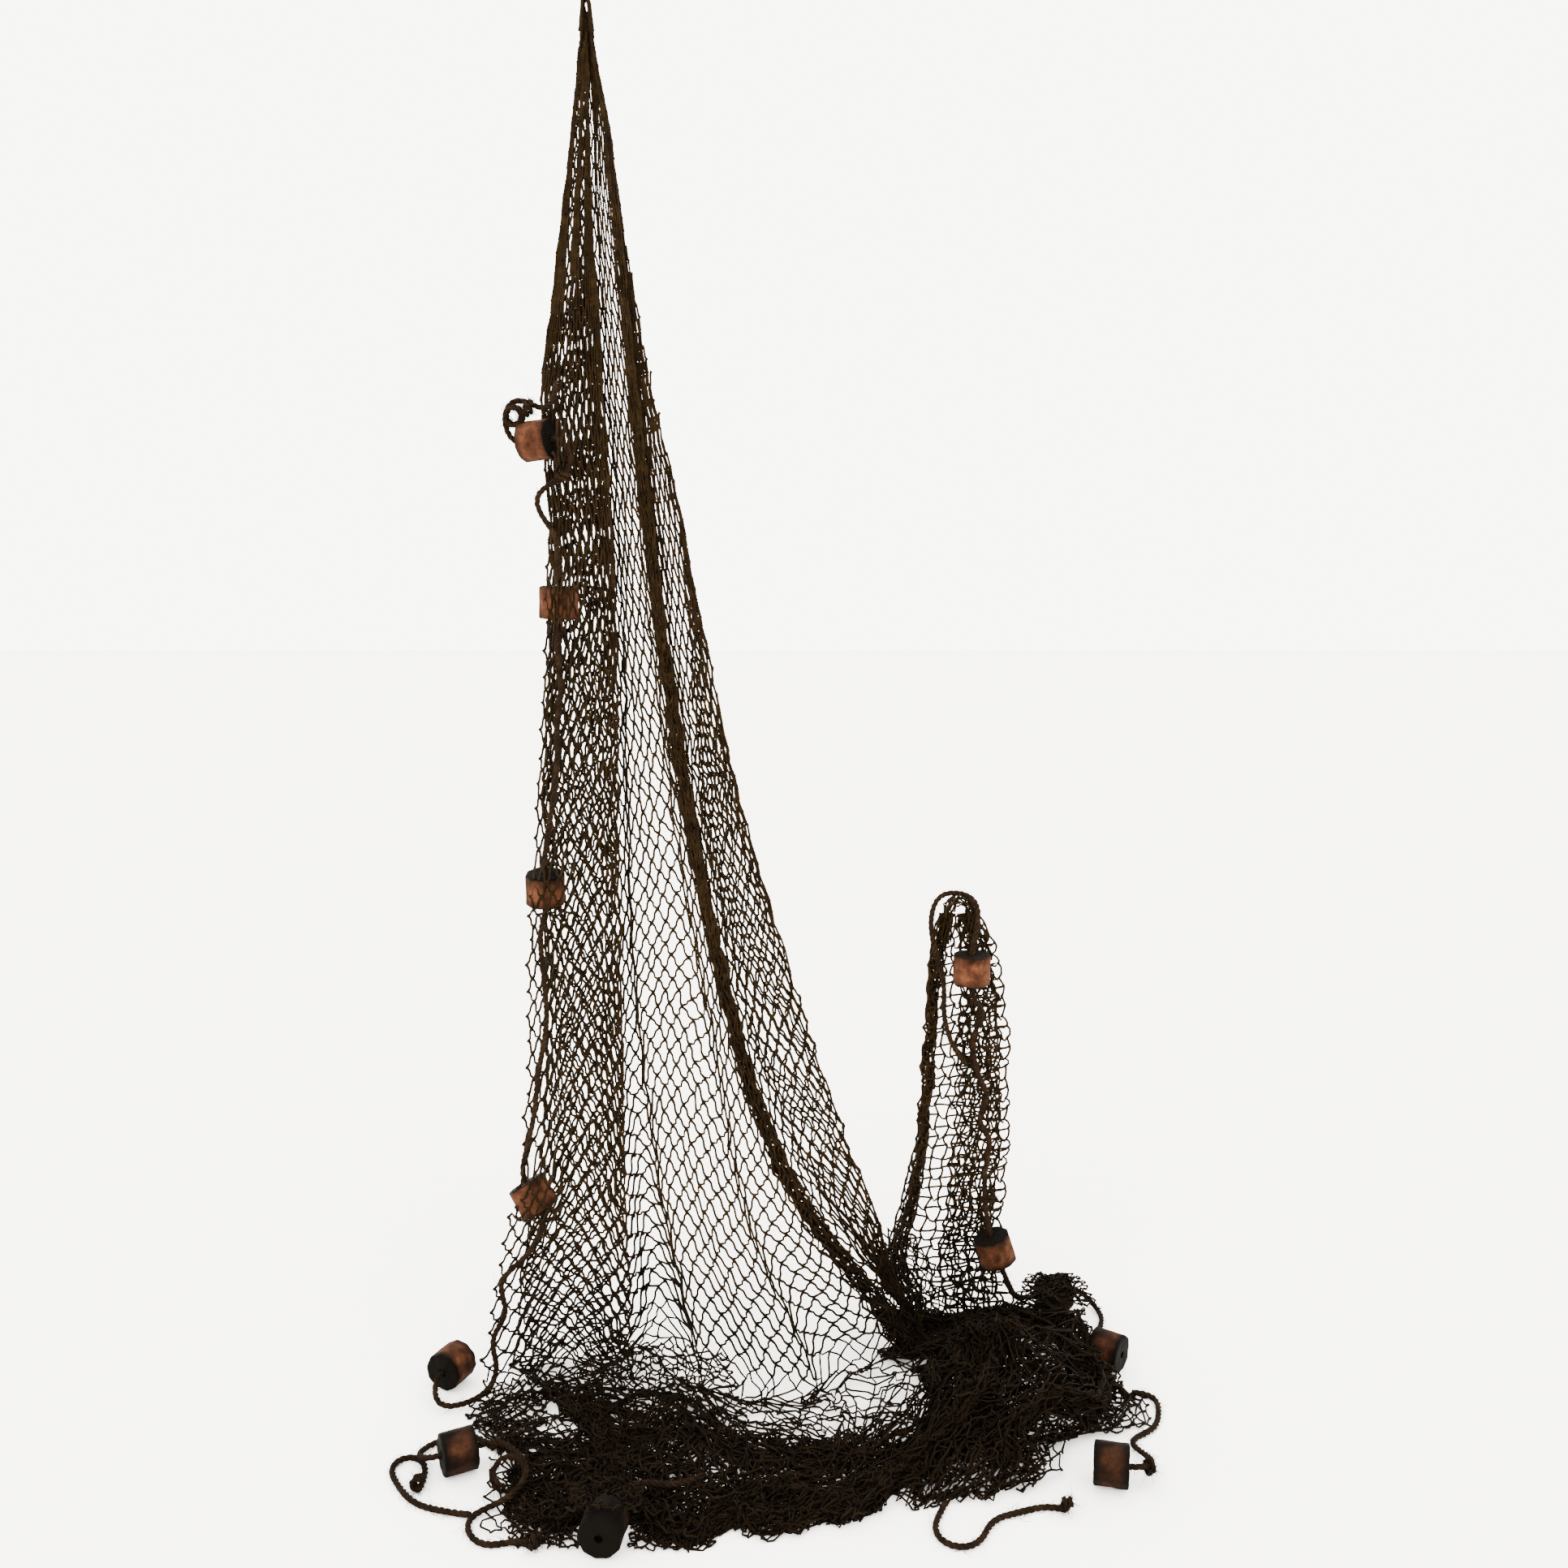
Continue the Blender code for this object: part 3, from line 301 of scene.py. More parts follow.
# The float line in its stretches. A stretch leaves the bore of its first float, passes
# its own points and enters the bore of its last one; None is an end without a float. A
# point without a height lies on the surface.
Stretch = namedtuple("Stretch", "name first last far_end lay points")
STRETCHES = (
    Stretch("line_01", ("float_01", -1), None, "object", "loose", (
        (-0.116, -0.079, -0.592), (-0.118, -0.074, -0.564), (-0.103, -0.070, -0.547),
        (-0.084, -0.072, -0.553), (-0.066, -0.066, -0.562), (-0.052, -0.053, -0.545),
        (-0.050, -0.0465, -0.520),
    )),
    Stretch("line_02", ("float_01", 1), ("float_02", 1), "object", "hanging", (
        (-0.024, -0.095, -0.629), (-0.040, -0.080, -0.656), (-0.078, -0.072, -0.682),
        (-0.069, -0.073, -0.714), (-0.050, -0.078, -0.742), (-0.048, -0.092, -0.775),
    )),
    Stretch("line_03", ("float_02", -1), ("float_03", 1), "object", "hanging", (
        (-0.050, -0.104, -0.900), (-0.046, -0.100, -0.950), (-0.052, -0.107, -1.010),
        (-0.053, -0.119, -1.080), (-0.061, -0.132, -1.140), (-0.066, -0.148, -1.178),
    )),
    Stretch("line_04", ("float_03", -1), ("float_04", 1), "object", "hanging", (
        (-0.076, -0.166, -1.310), (-0.073, -0.166, -1.370), (-0.069, -0.1766, -1.440),
        (-0.080, -0.1904, -1.510), (-0.086, -0.205, -1.570), (-0.094, -0.221, -1.612),
    )),
    Stretch("line_05", ("float_04", -1), ("float_05", -1), "object", "hanging", (
        (-0.080, -0.264, -1.745), (-0.102, -0.256, -1.775), (-0.134, -0.261, -1.810),
        (-0.124, -0.268, -1.850), (-0.146, -0.274, -1.890), (-0.138, -0.283, -1.930),
        (-0.152, -0.301, -1.956), (-0.184, -0.320, FLOOR + 0.012),
        (-0.216, -0.322, FLOOR + 0.014),
    )),
    Stretch("line_06", None, ("float_06", -1), "object", "loose", (
        (-0.1182, -0.4108), (-0.145, -0.388), (-0.170, -0.382), (-0.198, -0.396),
        (-0.214, -0.424, LYING + 0.006), (-0.208, -0.452, LYING + 0.016),
    )),
    Stretch("line_07", ("float_06", 1), None, "knot", "loose", (
        (-0.104, -0.440, FLOOR + 0.034), (-0.078, -0.458, FLOOR + 0.030),
        (-0.060, -0.488, FLOOR + 0.028), (-0.068, -0.522, FLOOR + 0.020),
        (-0.096, -0.536, FLOOR + 0.010), (-0.122, -0.552), (-0.112, -0.588), (-0.084, -0.604),
        (-0.056, -0.594), (-0.030, -0.606),
    )),
    Stretch("line_08", ("float_07", 1), None, "object", "loose", (
        (0.070, -0.534, FLOOR + 0.031), (0.090, -0.522, FLOOR + 0.032),
        (0.115, -0.524, FLOOR + 0.033), (0.140, -0.524, FLOOR + 0.0310),
        (0.172, -0.508, FLOOR + 0.0326),
    )),
    Stretch("line_09", ("float_08", 1), None, "object", "loose", (
        (0.764, -0.476, FLOOR + 0.026), (0.772, -0.444, FLOOR + 0.014), (0.758, -0.398),
        (0.776, -0.382), (0.800, -0.362), (0.814, -0.325), (0.816, -0.290), (0.7875, -0.2793),
    )),
    Stretch("line_10", ("float_10", 1), ("float_09", -1), "object", "loose", (
        (0.760, -0.026, FLOOR + 0.022), (0.784, -0.050), (0.782, -0.095),
        (0.758, -0.136, LYING + 0.002), (0.738, -0.168, LYING + 0.012),
    )),
    Stretch("line_11", ("float_12", -1), ("float_10", -1), "object", "hanging", (
        (0.628, -0.114, -1.886), (0.640, -0.108, -1.914), (0.652, -0.086, -1.930),
        (0.666, -0.064, -1.944),
    )),
    Stretch("line_12", ("float_11", -1), ("float_12", 1), "object", "hanging", (
        (0.572, -0.078, -1.446), (0.588, -0.070, -1.465), (0.574, -0.068, -1.490),
        (0.573, -0.068, -1.528), (0.580, -0.070, -1.565), (0.597, -0.070, -1.602),
        (0.580, -0.074, -1.636), (0.601, -0.076, -1.664), (0.595, -0.080, -1.700),
        (0.592, -0.090, -1.748),
    )),
    Stretch("line_13", ("float_11", 1), None, "object", "hanging", (
        (0.574, -0.066, -1.330), (0.575, -0.053, -1.300), (0.564, -0.038, -1.2859),
        (0.547, -0.031, -1.2862), (0.529, -0.033, -1.2835), (0.512, -0.044, -1.295),
        (0.504, -0.058, -1.330), (0.512, -0.064, -1.370), (0.524, -0.062, -1.410),
        (0.528, -0.062, -1.480), (0.546, -0.066, -1.528), (0.562, -0.068, -1.548),
    )),
    Stretch("tail_left", None, None, "knot", "loose", (
        (-0.1223, -0.546), (-0.142, -0.544), (-0.162, -0.537), (-0.186, -0.531),
        (-0.212, -0.512), (-0.232, -0.484), (-0.248, -0.456), (-0.238, -0.430), (-0.212, -0.436),
        (-0.201, -0.464), (-0.200, -0.492),
    )),
    Stretch("tail_right", None, None, "knot", "loose", (
        (0.489, -0.5224), (0.478, -0.548), (0.470, -0.572), (0.480, -0.598), (0.506, -0.606),
        (0.528, -0.590), (0.540, -0.564), (0.562, -0.548), (0.590, -0.540), (0.616, -0.530),
        (0.642, -0.536),
    )),
)


# ---------------------------------------------------------------- materials

PAINTED_SHADE_HEIGHTS = (FLOOR + 0.11, FLOOR + 0.24)  # painted shade: fully shaded below the first height, unshaded above the second


def linear(colour):
    """An sRGB hex colour as linear values with full alpha."""
    parts = [int(colour[i : i + 2], 16) / 255 for i in (1, 3, 5)]
    return [p / 12.92 if p <= 0.04045 else ((p + 0.055) / 1.055) ** 2.4 for p in parts] + [1.0]


def set_sockets(material, node, sockets):
    """Links each socket that is given another node's output, and sets the others."""
    for name, value in sockets.items():
        if isinstance(value, bpy.types.NodeSocket):
            material.node_tree.links.new(value, node.inputs[name])
        else:
            node.inputs[name].default_value = value


def add_node(material, kind, sockets, stops=(), **settings):
    """Adds one shader node with its settings and links and gives its outputs. Stops are
    the places and colours of a ramp."""
    node = material.node_tree.nodes.new("ShaderNode" + kind)
    for name, value in settings.items():
        setattr(node, name, value)
    set_sockets(material, node, sockets)
    if stops:
        elements = node.color_ramp.elements
        while len(elements) < len(stops):
            elements.new(0.5)
        for element, (position, colour) in zip(elements, stops):
            element.position = position
            element.color = colour
    return node.outputs


def new_material(name, roughness, specular=0.5):
    """A material with a Principled shader, and that shader."""
    material = bpy.data.materials.new(name)
    material.use_nodes = True
    shader = material.node_tree.nodes["Principled BSDF"]
    set_sockets(material, shader, {"Roughness": roughness, "Specular IOR Level": specular})
    return material, shader


def shades(colour, marks):
    """Darker and lighter shades of a colour, from marks of (position, how bright)."""
    return [(place, [part * bright for part in colour] + [1.0]) for place, bright in marks]


def fibre_material(name, stops, patch, fibre, bump, low):
    """Twisted plant fibre: soft patches of tar over a fine hairy grain, and painted shade that
    leaves it this much darker low down, where it lies heaped."""
    material, shader = new_material(name, 0.88, 0.03)
    place = add_node(material, "TexCoord", {})["Object"]
    tar = {"Vector": place, "Scale": 1 / patch, "Detail": 3.0, "Roughness": 0.6}
    tar = add_node(material, "TexNoise", tar)["Fac"]
    grain = {"Vector": place, "Scale": 1 / fibre, "Detail": 2.0, "Roughness": 0.7}
    grain = add_node(material, "TexNoise", grain)["Fac"]
    both = add_node(material, "Mix", {"Factor": 0.45, "A": tar, "B": grain}, data_type="FLOAT")
    colours = add_node(material, "ValToRGB", {"Fac": both["Result"]}, stops)["Color"]
    # Painted shade: the colour is darkened towards the surface, where the pile lies heaped.
    height = add_node(material, "SeparateXYZ", {"Vector": place})["Z"]
    unshaded = {"Value": height, "From Min": PAINTED_SHADE_HEIGHTS[0], "From Max": PAINTED_SHADE_HEIGHTS[1], "To Min": low}
    unshaded = add_node(material, "MapRange", unshaded)["Result"]
    shaded_colours = {"Factor": 1.0, "A": colours, "B": unshaded}
    shaded_colours = add_node(material, "Mix", shaded_colours, data_type="RGBA", blend_type="MULTIPLY")
    relief = {"Strength": bump, "Distance": fibre / 2, "Height": grain}
    relief = add_node(material, "Bump", relief)["Normal"]
    set_sockets(material, shader, {"Base Color": shaded_colours["Result"], "Normal": relief})
    return material


def tarred_twine(colour):
    """Hemp twine soaked in bark tar: matt, near black, olive brown where it has worn."""
    stops = shades(colour, ((0.34, 0.45), (0.50, 1.0), (0.68, 2.2)))
    # Low down the twine is painted 0.38 times as bright, as shade.
    return fibre_material("tarred hemp twine", stops, 0.016, 0.0012, bump=0.5, low=0.38)


def coir_rope(colour):
    """Coir laid in three strands: matt, dark red-brown and hairy."""
    stops = shades(colour, ((0.36, 0.40), (0.50, 1.0), (0.64, 2.4)))
    # Low down the rope is painted 0.65 times as bright, as shade.
    return fibre_material("laid coir rope", stops, 0.018, 0.0009, bump=0.8, low=0.65)


def stained_cork(colour):
    """Bark cork cut to a block and stained red-brown: matt and pitted. A mask darkens it with
    stains, with soot that is partly painted shade, and with painted shade at its ends and bore.
    """
    material, shader = new_material("stained bark cork", 0.78, 0.02)
    place = add_node(material, "TexCoord", {})["Object"]
    stain = {"Vector": place, "Scale": 1 / 0.022, "Detail": 4.0, "Roughness": 0.62}
    stain = add_node(material, "TexNoise", stain)["Fac"]
    stops = shades(colour, ((0.30, 0.20), (0.46, 0.55), (0.60, 1.0), (0.76, 1.8)))
    colours = add_node(material, "ValToRGB", {"Fac": stain}, stops)["Color"]
    pits = {"Vector": place, "Scale": 1 / 0.0042, "Randomness": 1.0}
    pits = add_node(material, "TexVoronoi", pits)["Distance"]
    pits = {"Value": pits, "From Min": 0.05, "From Max": 0.30}
    pits = add_node(material, "MapRange", pits)["Result"]
    worn = {"Factor": 0.22, "A": colours, "B": pits}
    worn = add_node(material, "Mix", worn, data_type="RGBA", blend_type="MULTIPLY")["Result"]
    # A near black mixed in by the mesh's mask of real stains and painted shade.
    grime_and_shade = add_node(material, "Attribute", {}, attribute_name="grime_and_shade")["Fac"]
    dark = {"Factor": grime_and_shade, "A": worn, "B": linear("#030201")}
    dark = add_node(material, "Mix", dark, data_type="RGBA")["Result"]
    relief = {"Strength": 0.7, "Distance": 0.0012, "Height": pits}
    relief = add_node(material, "Bump", relief)["Normal"]
    set_sockets(material, shader, {"Base Color": dark, "Normal": relief})
    return material


# ---------------------------------------------------------------- the netting's surface


def steps(points):
    """The length of each step along a line of points."""
    return np.linalg.norm(np.diff(points, axis=0), axis=1)


def way_along(points):
    """How far along the line each point is."""
    return np.concatenate([[0], np.cumsum(steps(points))])


def keep_above(points, level):
    points[..., 2] = np.maximum(points[..., 2], level)


def add_object(name, data):
    """An object that shows this mesh, curve, light or camera."""
    thing = bpy.data.objects.new(name, data)
    bpy.context.collection.objects.link(thing)
    return thing


def read_rows(rows, drops):
    """Every column of a table at these drops, on a smooth curve through its rows."""
    table = np.array(rows, float)
    index = np.clip(np.searchsorted(table[1:, 0], drops), 0, len(rows) - 2)
    start = table[index]
    end = table[index + 1]
    lift = (end - table[np.maximum(index - 1, 0)]) / 2
    land = (table[np.minimum(index + 2, len(rows) - 1)] - start) / 2
    share = ((drops - start[:, 0]) / (end[:, 0] - start[:, 0]))[:, None]
    square = share**2
    cube = share**3
    values = (
        start * (2 * cube - 3 * square + 1)
        + lift * (cube - 2 * square + share)
        + end * (3 * square - 2 * cube)
        + land * (cube - square)
    )
    return type(rows[0])(*values.T)


FOLD_CROWDING = 0.20
PANEL_BENDS = (0.30, 0.44)  # shares of the panel's width from the gusset to its bends

# How far the inner pleat ends short of the left edge, as a share of its width, and the
# drop where this sets in and how far it takes.
PLEAT_SHORT = 0.14
SHORT_DROP = 1.05
SHORT_FADE = 0.35

# The clumps of strands in each gathered side, and how wide they are at each drop.
CLUMPS = 3
CLUMP_WIDTH = ((0.02, 0.45), (0.12, 0.42), (0.26, 0.60), (0.40, 0.90), (0.50, 1.0))

# The rows start in waves: the column where they run most aslant, how fast they wave from
# column to column, their height in levels, and the widest half mesh, in bars.
PANEL_COLUMN = 48
ROW_WAVE = 0.125
WAVE_LEVELS = 7.0
WIDEST_HALF = 0.85

# How the strands of the front leaf pass over a float: the leaf's columns, how far beyond
# the cork they fall back and how much the leaf is drawn in.
FRONT_LEAF = 15
FALL_BACK = 0.030
DRAWN_IN = 0.16


def lay_meshes(corners, counts, columns):
    """Half-mesh points along each level's folded line, crowded towards the folds."""
    spots = np.linspace(0, 1, 2 * columns + 1)
    laid = np.zeros((len(corners[0][0]), len(spots), 2))
    xs = np.array([x for x, _ in corners]).T
    ys = np.array([y for _, y in corners]).T
    counts = np.array(np.broadcast_arrays(*counts)).T
    for level in range(len(laid)):
        ends = np.concatenate([[0], np.cumsum(counts[level])])
        ends /= ends[-1]
        leaf = np.clip(np.searchsorted(ends, spots, side="right") - 1, 0, len(ends) - 2)
        share = (spots - ends[leaf]) / (ends[leaf + 1] - ends[leaf])
        share = share - FOLD_CROWDING * np.sin(2 * math.pi * share) / (2 * math.pi)
        laid[level, :, 0] = xs[level, leaf] + (xs[level, leaf + 1] - xs[level, leaf]) * share
        laid[level, :, 1] = ys[level, leaf] + (ys[level, leaf + 1] - ys[level, leaf]) * share
    return laid


def main_levels(drops):
    """The main hang's half-mesh points at each drop, as (levels, columns, 3)."""
    s = read_rows(MAIN_HANG, drops)
    c = read_rows(CREASES, drops)
    m = read_rows(MAIN_MESHES, drops)
    pleat = s.fold - s.left
    panel = s.bunch_in - s.fold
    flap = s.right - s.bunch_out

    def panel_point(share, proud=0.0):
        depth = 0.30 - 0.60 * share
        bow = s.billow * np.sin(math.pi * share)
        return s.fold + panel * share, depth * s.gape - bow - proud

    near = c.gusset_end
    far = c.strip_start
    short = PLEAT_SHORT * np.clip((drops - SHORT_DROP) / SHORT_FADE, 0, 1)
    first, second = PANEL_BENDS
    corners = (
        (s.left, -1.00 * s.gape),
        (s.fold, -0.62 * s.gape),
        (s.left + short * pleat, -0.24 * s.gape),
        (s.fold, 0.30 * s.gape),
        panel_point(near),
        panel_point(near + c.tuck / panel, c.tuck),
        panel_point(near + first),
        panel_point(near + second),
        panel_point(far),
        panel_point(far + c.tuck / panel, c.tuck),
        (s.bunch_in, -0.30 * s.gape),
        (s.bunch_out, -0.10 * s.gape),
        (s.bunch_in + 0.002, 0.12 * s.gape),
        (s.bunch_out, 0.32 * s.gape),
        (s.right, 0.42 * s.gape),
        (s.bunch_out + 0.06 * flap, 0.75 * s.gape),
    )
    wide = far - near
    panels = [m.panel * part / wide for part in (first, second - first, wide - second)]
    counts = (*[m.pleat] * 3, m.gusset, m.tuck, *panels, m.tuck, m.strip, *[m.bunch] * 3,
              m.flap, m.back)
    laid = lay_meshes(corners, counts, MAIN_COLUMNS)
    tight = np.interp(drops, *zip(*CLUMP_WIDTH))
    clump(laid, s.left, s.fold, tight)
    clump(laid, s.bunch_in, s.right, np.minimum(1, tight + drops))
    return raise_levels(laid, s.lean, drops)


def clump(laid, start, end, tight):
    """Draws the strands between two edges together into clumps, with slits between them,
    as they hang where the netting is gathered."""
    start = start[:, None]
    span = end[:, None] - start
    share = (laid[:, :, 0] - start) / span
    inside = (share > 0.001) & (share < 0.999)
    spot = share * CLUMPS
    middle = np.floor(spot) + 0.5
    pulled = start + span * (middle + (spot - middle) * tight[:, None]) / CLUMPS
    laid[:, :, 0] = np.where(inside, pulled, laid[:, :, 0])


def side_lines(drops):
    """The side hang's lines of knots at each drop, by level and line. Its meshes hang
    square, so that half of the bars are upright."""
    s = read_rows(SIDE_HANG, drops)
    width = s.right - s.left - s.band
    corners = (
        (s.left, 0.35 * s.gape),
        (s.left + s.band, 0.10 * s.gape),
        (s.left, -0.20 * s.gape),
        (s.right, -0.45 * s.gape),
        (s.left + s.band + 0.34 * width, -0.05 * s.gape),
        (s.right - 0.003, 0.50 * s.gape),
    )
    laid = []
    for (x0, y0), (x1, y1), count in zip(corners, corners[1:], SIDE_LINES):
        for share in np.arange(count) / count:
            laid.append(np.stack([x0 + (x1 - x0) * share, y0 + (y1 - y0) * share], axis=1))
    return raise_levels(np.stack(laid, axis=1), s.lean, drops)


def raise_levels(laid, lean, drops):
    """Plan points at each level as points in space, leaned out from the wall."""
    points = np.zeros((*laid.shape[:2], 3))
    points[:, :, :2] = laid
    points[:, :, 1] -= lean[:, None]
    points[:, :, 2] = -drops[:, None]
    return points


def smooth_places(points, shares):
    """Points at these shares of the way along a smooth curve through the points."""
    table = np.array(points, float)
    spot = np.clip(shares, 0, 1) * (len(table) - 1)
    index = np.minimum(spot.astype(int), len(table) - 2)
    local = (spot - index)[..., None]
    a = table[np.maximum(index - 1, 0)]
    b = table[index]
    c = table[index + 1]
    d = table[np.minimum(index + 2, len(table) - 1)]
    return 0.5 * (
        2 * b
        + (c - a) * local
        + (2 * a - 5 * b + 4 * c - d) * local**2
        + (3 * b - a - 3 * c + d) * local**3
    )


def heap_rise(x, y):
    """How far the heap lifts the netting above the surface."""
    rise = np.zeros_like(x)
    for mound in MOUNDS:
        across = (x - mound.x) / mound.reach_x
        along = (y - mound.y) / mound.reach_y
        slope = (across * across + along * along) ** mound.shoulder
        rise = np.maximum(rise, mound.height * np.exp(-slope))
    return rise


def rucks(x, y):
    """Waves that cross each other, from -1 to 1, as crumpled netting lies."""
    wave = np.cos(48 * x + 30 * y + 2.4 * np.sin(23 * y))
    cross = np.sin(49 * y - 27 * x + 1.5 * np.sin(19 * x))
    return 0.6 * wave + 0.4 * cross


def pile_height(x, y):
    """The top of the pile above the surface, away from its edges."""
    heap = heap_rise(x, y)
    ruck = POOL_HEIGHT + RUCK_HEIGHT * heap / MOUNDS[0].height
    return heap + ruck * (0.5 + 0.5 * rucks(x, y))


def pool_points(foot, shares, across, height=1.0):
    """Points on the netting that lies on the surface, by their shares of the way from
    the feet of the hangs to the front edge and across from left to right."""
    columns = np.linspace(0, 1, len(foot))
    start = np.stack([np.interp(across, columns, foot[:, axis]) for axis in (0, 1)], axis=-1)
    s = shares[..., None]
    t = across[..., None]
    sides = smooth_places(LEFT_EDGE, shares) * (1 - t) + smooth_places(RIGHT_EDGE, shares) * t
    ends = start * (1 - s) + smooth_places(FRONT_EDGE, across) * s
    near = foot[0, :2] * (1 - t) + foot[-1, :2] * t
    far = np.array(FRONT_EDGE[0]) * (1 - t) + np.array(FRONT_EDGE[-1]) * t
    place = sides + ends - near * (1 - s) - far * s
    front, left, right = EDGE_FALL
    edge = np.minimum((1 - shares) * front, np.minimum(left * across, right * (1 - across)))
    edge = np.sin(math.pi / 2 * np.clip(edge, 0, 1))
    edge = edge * np.minimum(1, FOOT_RISE + 2 * shares)
    rise = pile_height(place[..., 0], place[..., 1]) * edge * height
    return np.concatenate([place, FLOOR + TWINE + rise[..., None]], axis=-1)


def at_levels(table, levels):
    """A table's values by column at a level of its own for each column."""
    low = np.clip(levels.astype(int), 0, len(table) - 2)
    share = levels - low
    columns = np.arange(table.shape[1])
    if table.ndim == 3:
        share = share[:, None]
    return table[low, columns] * (1 - share) + table[low + 1, columns] * share


def step_down(paths, first_row, foot_level):
    """Knot places by row and column, each knot hung from the two that it is tied to.

    A mesh that is pulled wide is short and a tight one is long. On the surface the rows
    that are left share the way to the front edge."""
    gaps = np.linalg.norm(np.diff(paths, axis=1), axis=2)
    gaps = np.concatenate([gaps[:, :1], (gaps[:, 1:] + gaps[:, :-1]) / 2, gaps[:, -1:]], axis=1)
    reach = np.linalg.norm(np.diff(paths, axis=0), axis=2)
    reach = np.concatenate([reach, reach[-1:]])
    index = np.arange(paths.shape[1])
    slope = np.sin(ROW_WAVE * (PANEL_COLUMN - index))
    levels = 1 + WAVE_LEVELS * (1 + slope) + np.sin(0.61 * index + 1.3)
    knots = np.zeros((LAST_ROW + 1, paths.shape[1], 3))
    for row in range(first_row, LAST_ROW + 1):
        knots[row] = at_levels(paths, levels)
        beside = np.concatenate([levels[1:2], (levels[2:] + levels[:-2]) / 2, levels[-2:-1]])
        half = np.minimum(at_levels(gaps, levels), WIDEST_HALF * BAR)
        step = np.sqrt(BAR**2 - half**2) / np.maximum(at_levels(reach, levels), 1e-4)
        even = (len(paths) - 1 - levels) / max(LAST_ROW - row, 1)
        step = np.where(levels < foot_level, step, even)
        levels = np.minimum((levels + beside) / 2 + step, len(paths) - 1)
    return knots


SLACK_WAVES = 6
FOLD_WAVES = 5
FOLD_PACE = 17


def slack(points, amount, wavelength, seed):
    """Moves points by smooth noise, as much as amount in each direction."""
    random = np.random.default_rng(seed)
    moved = np.zeros_like(points)
    for _ in range(SLACK_WAVES):
        way = random.normal(size=3)
        way *= 2 * math.pi / (wavelength * random.uniform(0.7, 1.5) * np.linalg.norm(way))
        phase = random.uniform(0, 2 * math.pi, 3)
        wave = points @ way
        moved += np.sin(wave[..., None] + phase) * amount / 3
    return points + moved


def knotted_net():
    """Every knot of the netting by (row, column), both hangs and the pool together."""
    foot_drop = MAIN_HANG[-1].drop
    drops = np.append(np.arange(TOP_DROP, foot_drop, LEVEL_STEP), foot_drop)
    main = main_levels(drops)
    foot = np.concatenate([main[-1], side_lines(np.array([foot_drop, foot_drop]))[-1]])
    shares = np.linspace(0, 1, POOL_LEVELS + 1)[1:, None]
    across = np.linspace(0, 1, len(foot))[None]
    pool = pool_points(foot, *np.broadcast_arrays(shares, across), UNDER_LAYERS)
    columns = main.shape[1]
    paths = np.concatenate([main, pool[:, :columns]])
    side = np.concatenate([np.repeat(foot[None, columns:], 2, axis=0), pool[:, columns:]])
    knots = np.zeros((LAST_ROW + 1, len(foot), 3))
    knots[:, :columns] = step_down(paths, 0, len(main) - 1)
    knots[FOOT_ROW:, columns:] = step_down(side, FOOT_ROW, 1)[FOOT_ROW:]
    random = np.random.default_rng(12)
    ease = np.clip((-knots[:, :, 2:] - 0.05) / 0.9, 0.06, 1)
    loose = slack(knots, *NET_SLACK) + random.normal(scale=STRAY_KNOT, size=knots.shape)
    knots += (loose - knots) * ease
    pooled = np.clip((-1.90 - knots[:, :, 2]) / 0.05, 0, 1)[..., None]
    crumpled = slack(slack(knots, *POOL_SLACK), *POOL_RUCKS)
    knots = knots * (1 - pooled) + crumpled * pooled
    keep_above(knots, FLOOR + 0.8 * TWINE)
    return knots, columns, foot


def bowed_line(knots, near, far):
    """A line through the knots whose bars bow out by these two offsets."""
    way = np.diff(knots, axis=0)
    points = np.zeros((3 * len(way) + 1, 3))
    points[::3] = knots
    points[1::3] = knots[:-1] + BAR_BENDS[0] * way + near
    points[2::3] = knots[:-1] + BAR_BENDS[1] * way + far
    return points


def side_strands():
    """The side hang: upright strands, and level ones that sag between them."""
    random = np.random.default_rng(15)
    drops = np.linspace(SIDE_HANG[0].drop + 0.004, SIDE_HANG[-1].drop, SIDE_ROWS + 1)
    knots = slack(side_lines(drops), *SIDE_SLACK)
    rows, lines = knots.shape[:2]
    flip = 1 - 2 * (np.add.outer(np.arange(rows), np.arange(lines)) % 2)
    sway = SIDE_SWAY * np.clip(np.arange(lines) / SIDE_LINES[0] - 1, 0.15, 1)
    knots[1:-1, :, 0] += (flip * sway)[1:-1]
    knots[1:-1, :, 2] += 0.6 * (flip * sway[::-1])[1:-1]
    knots[1:-1] += random.normal(scale=STRAY_SIDE, size=knots[1:-1].shape)
    edge = sum(SIDE_LINES[:3])
    strands = []
    for line in range(lines):
        wide = SIDE_BOW[int(line >= sum(SIDE_LINES[:2]) + 3)]
        bow = random.uniform(-wide, wide, (rows - 1, 1)) * (1.0, 1.0, 0.0)
        if line in (edge, lines - 1):
            bow = random.uniform(0.1, 1.3, (rows - 1, 1)) * (EDGE_BOW, 0.0, 0.0)
        points = bowed_line(knots[:, line], bow, bow)
        radii = np.ones(len(points))
        radii[::3] = KNOT_SWELL + 0.2
        strands.append((points, radii))
    for row in knots:
        spare = np.maximum(BAR - steps(row), 0)[:, None]
        sag = spare * (0.0, -0.2, -0.42) + random.normal(scale=STRAY_SIDE, size=(lines - 1, 3))
        points = bowed_line(row, sag, sag * random.uniform(0.3, 1.0, (lines - 1, 1)))
        strands.append((points, np.ones(len(points))))
    return strands


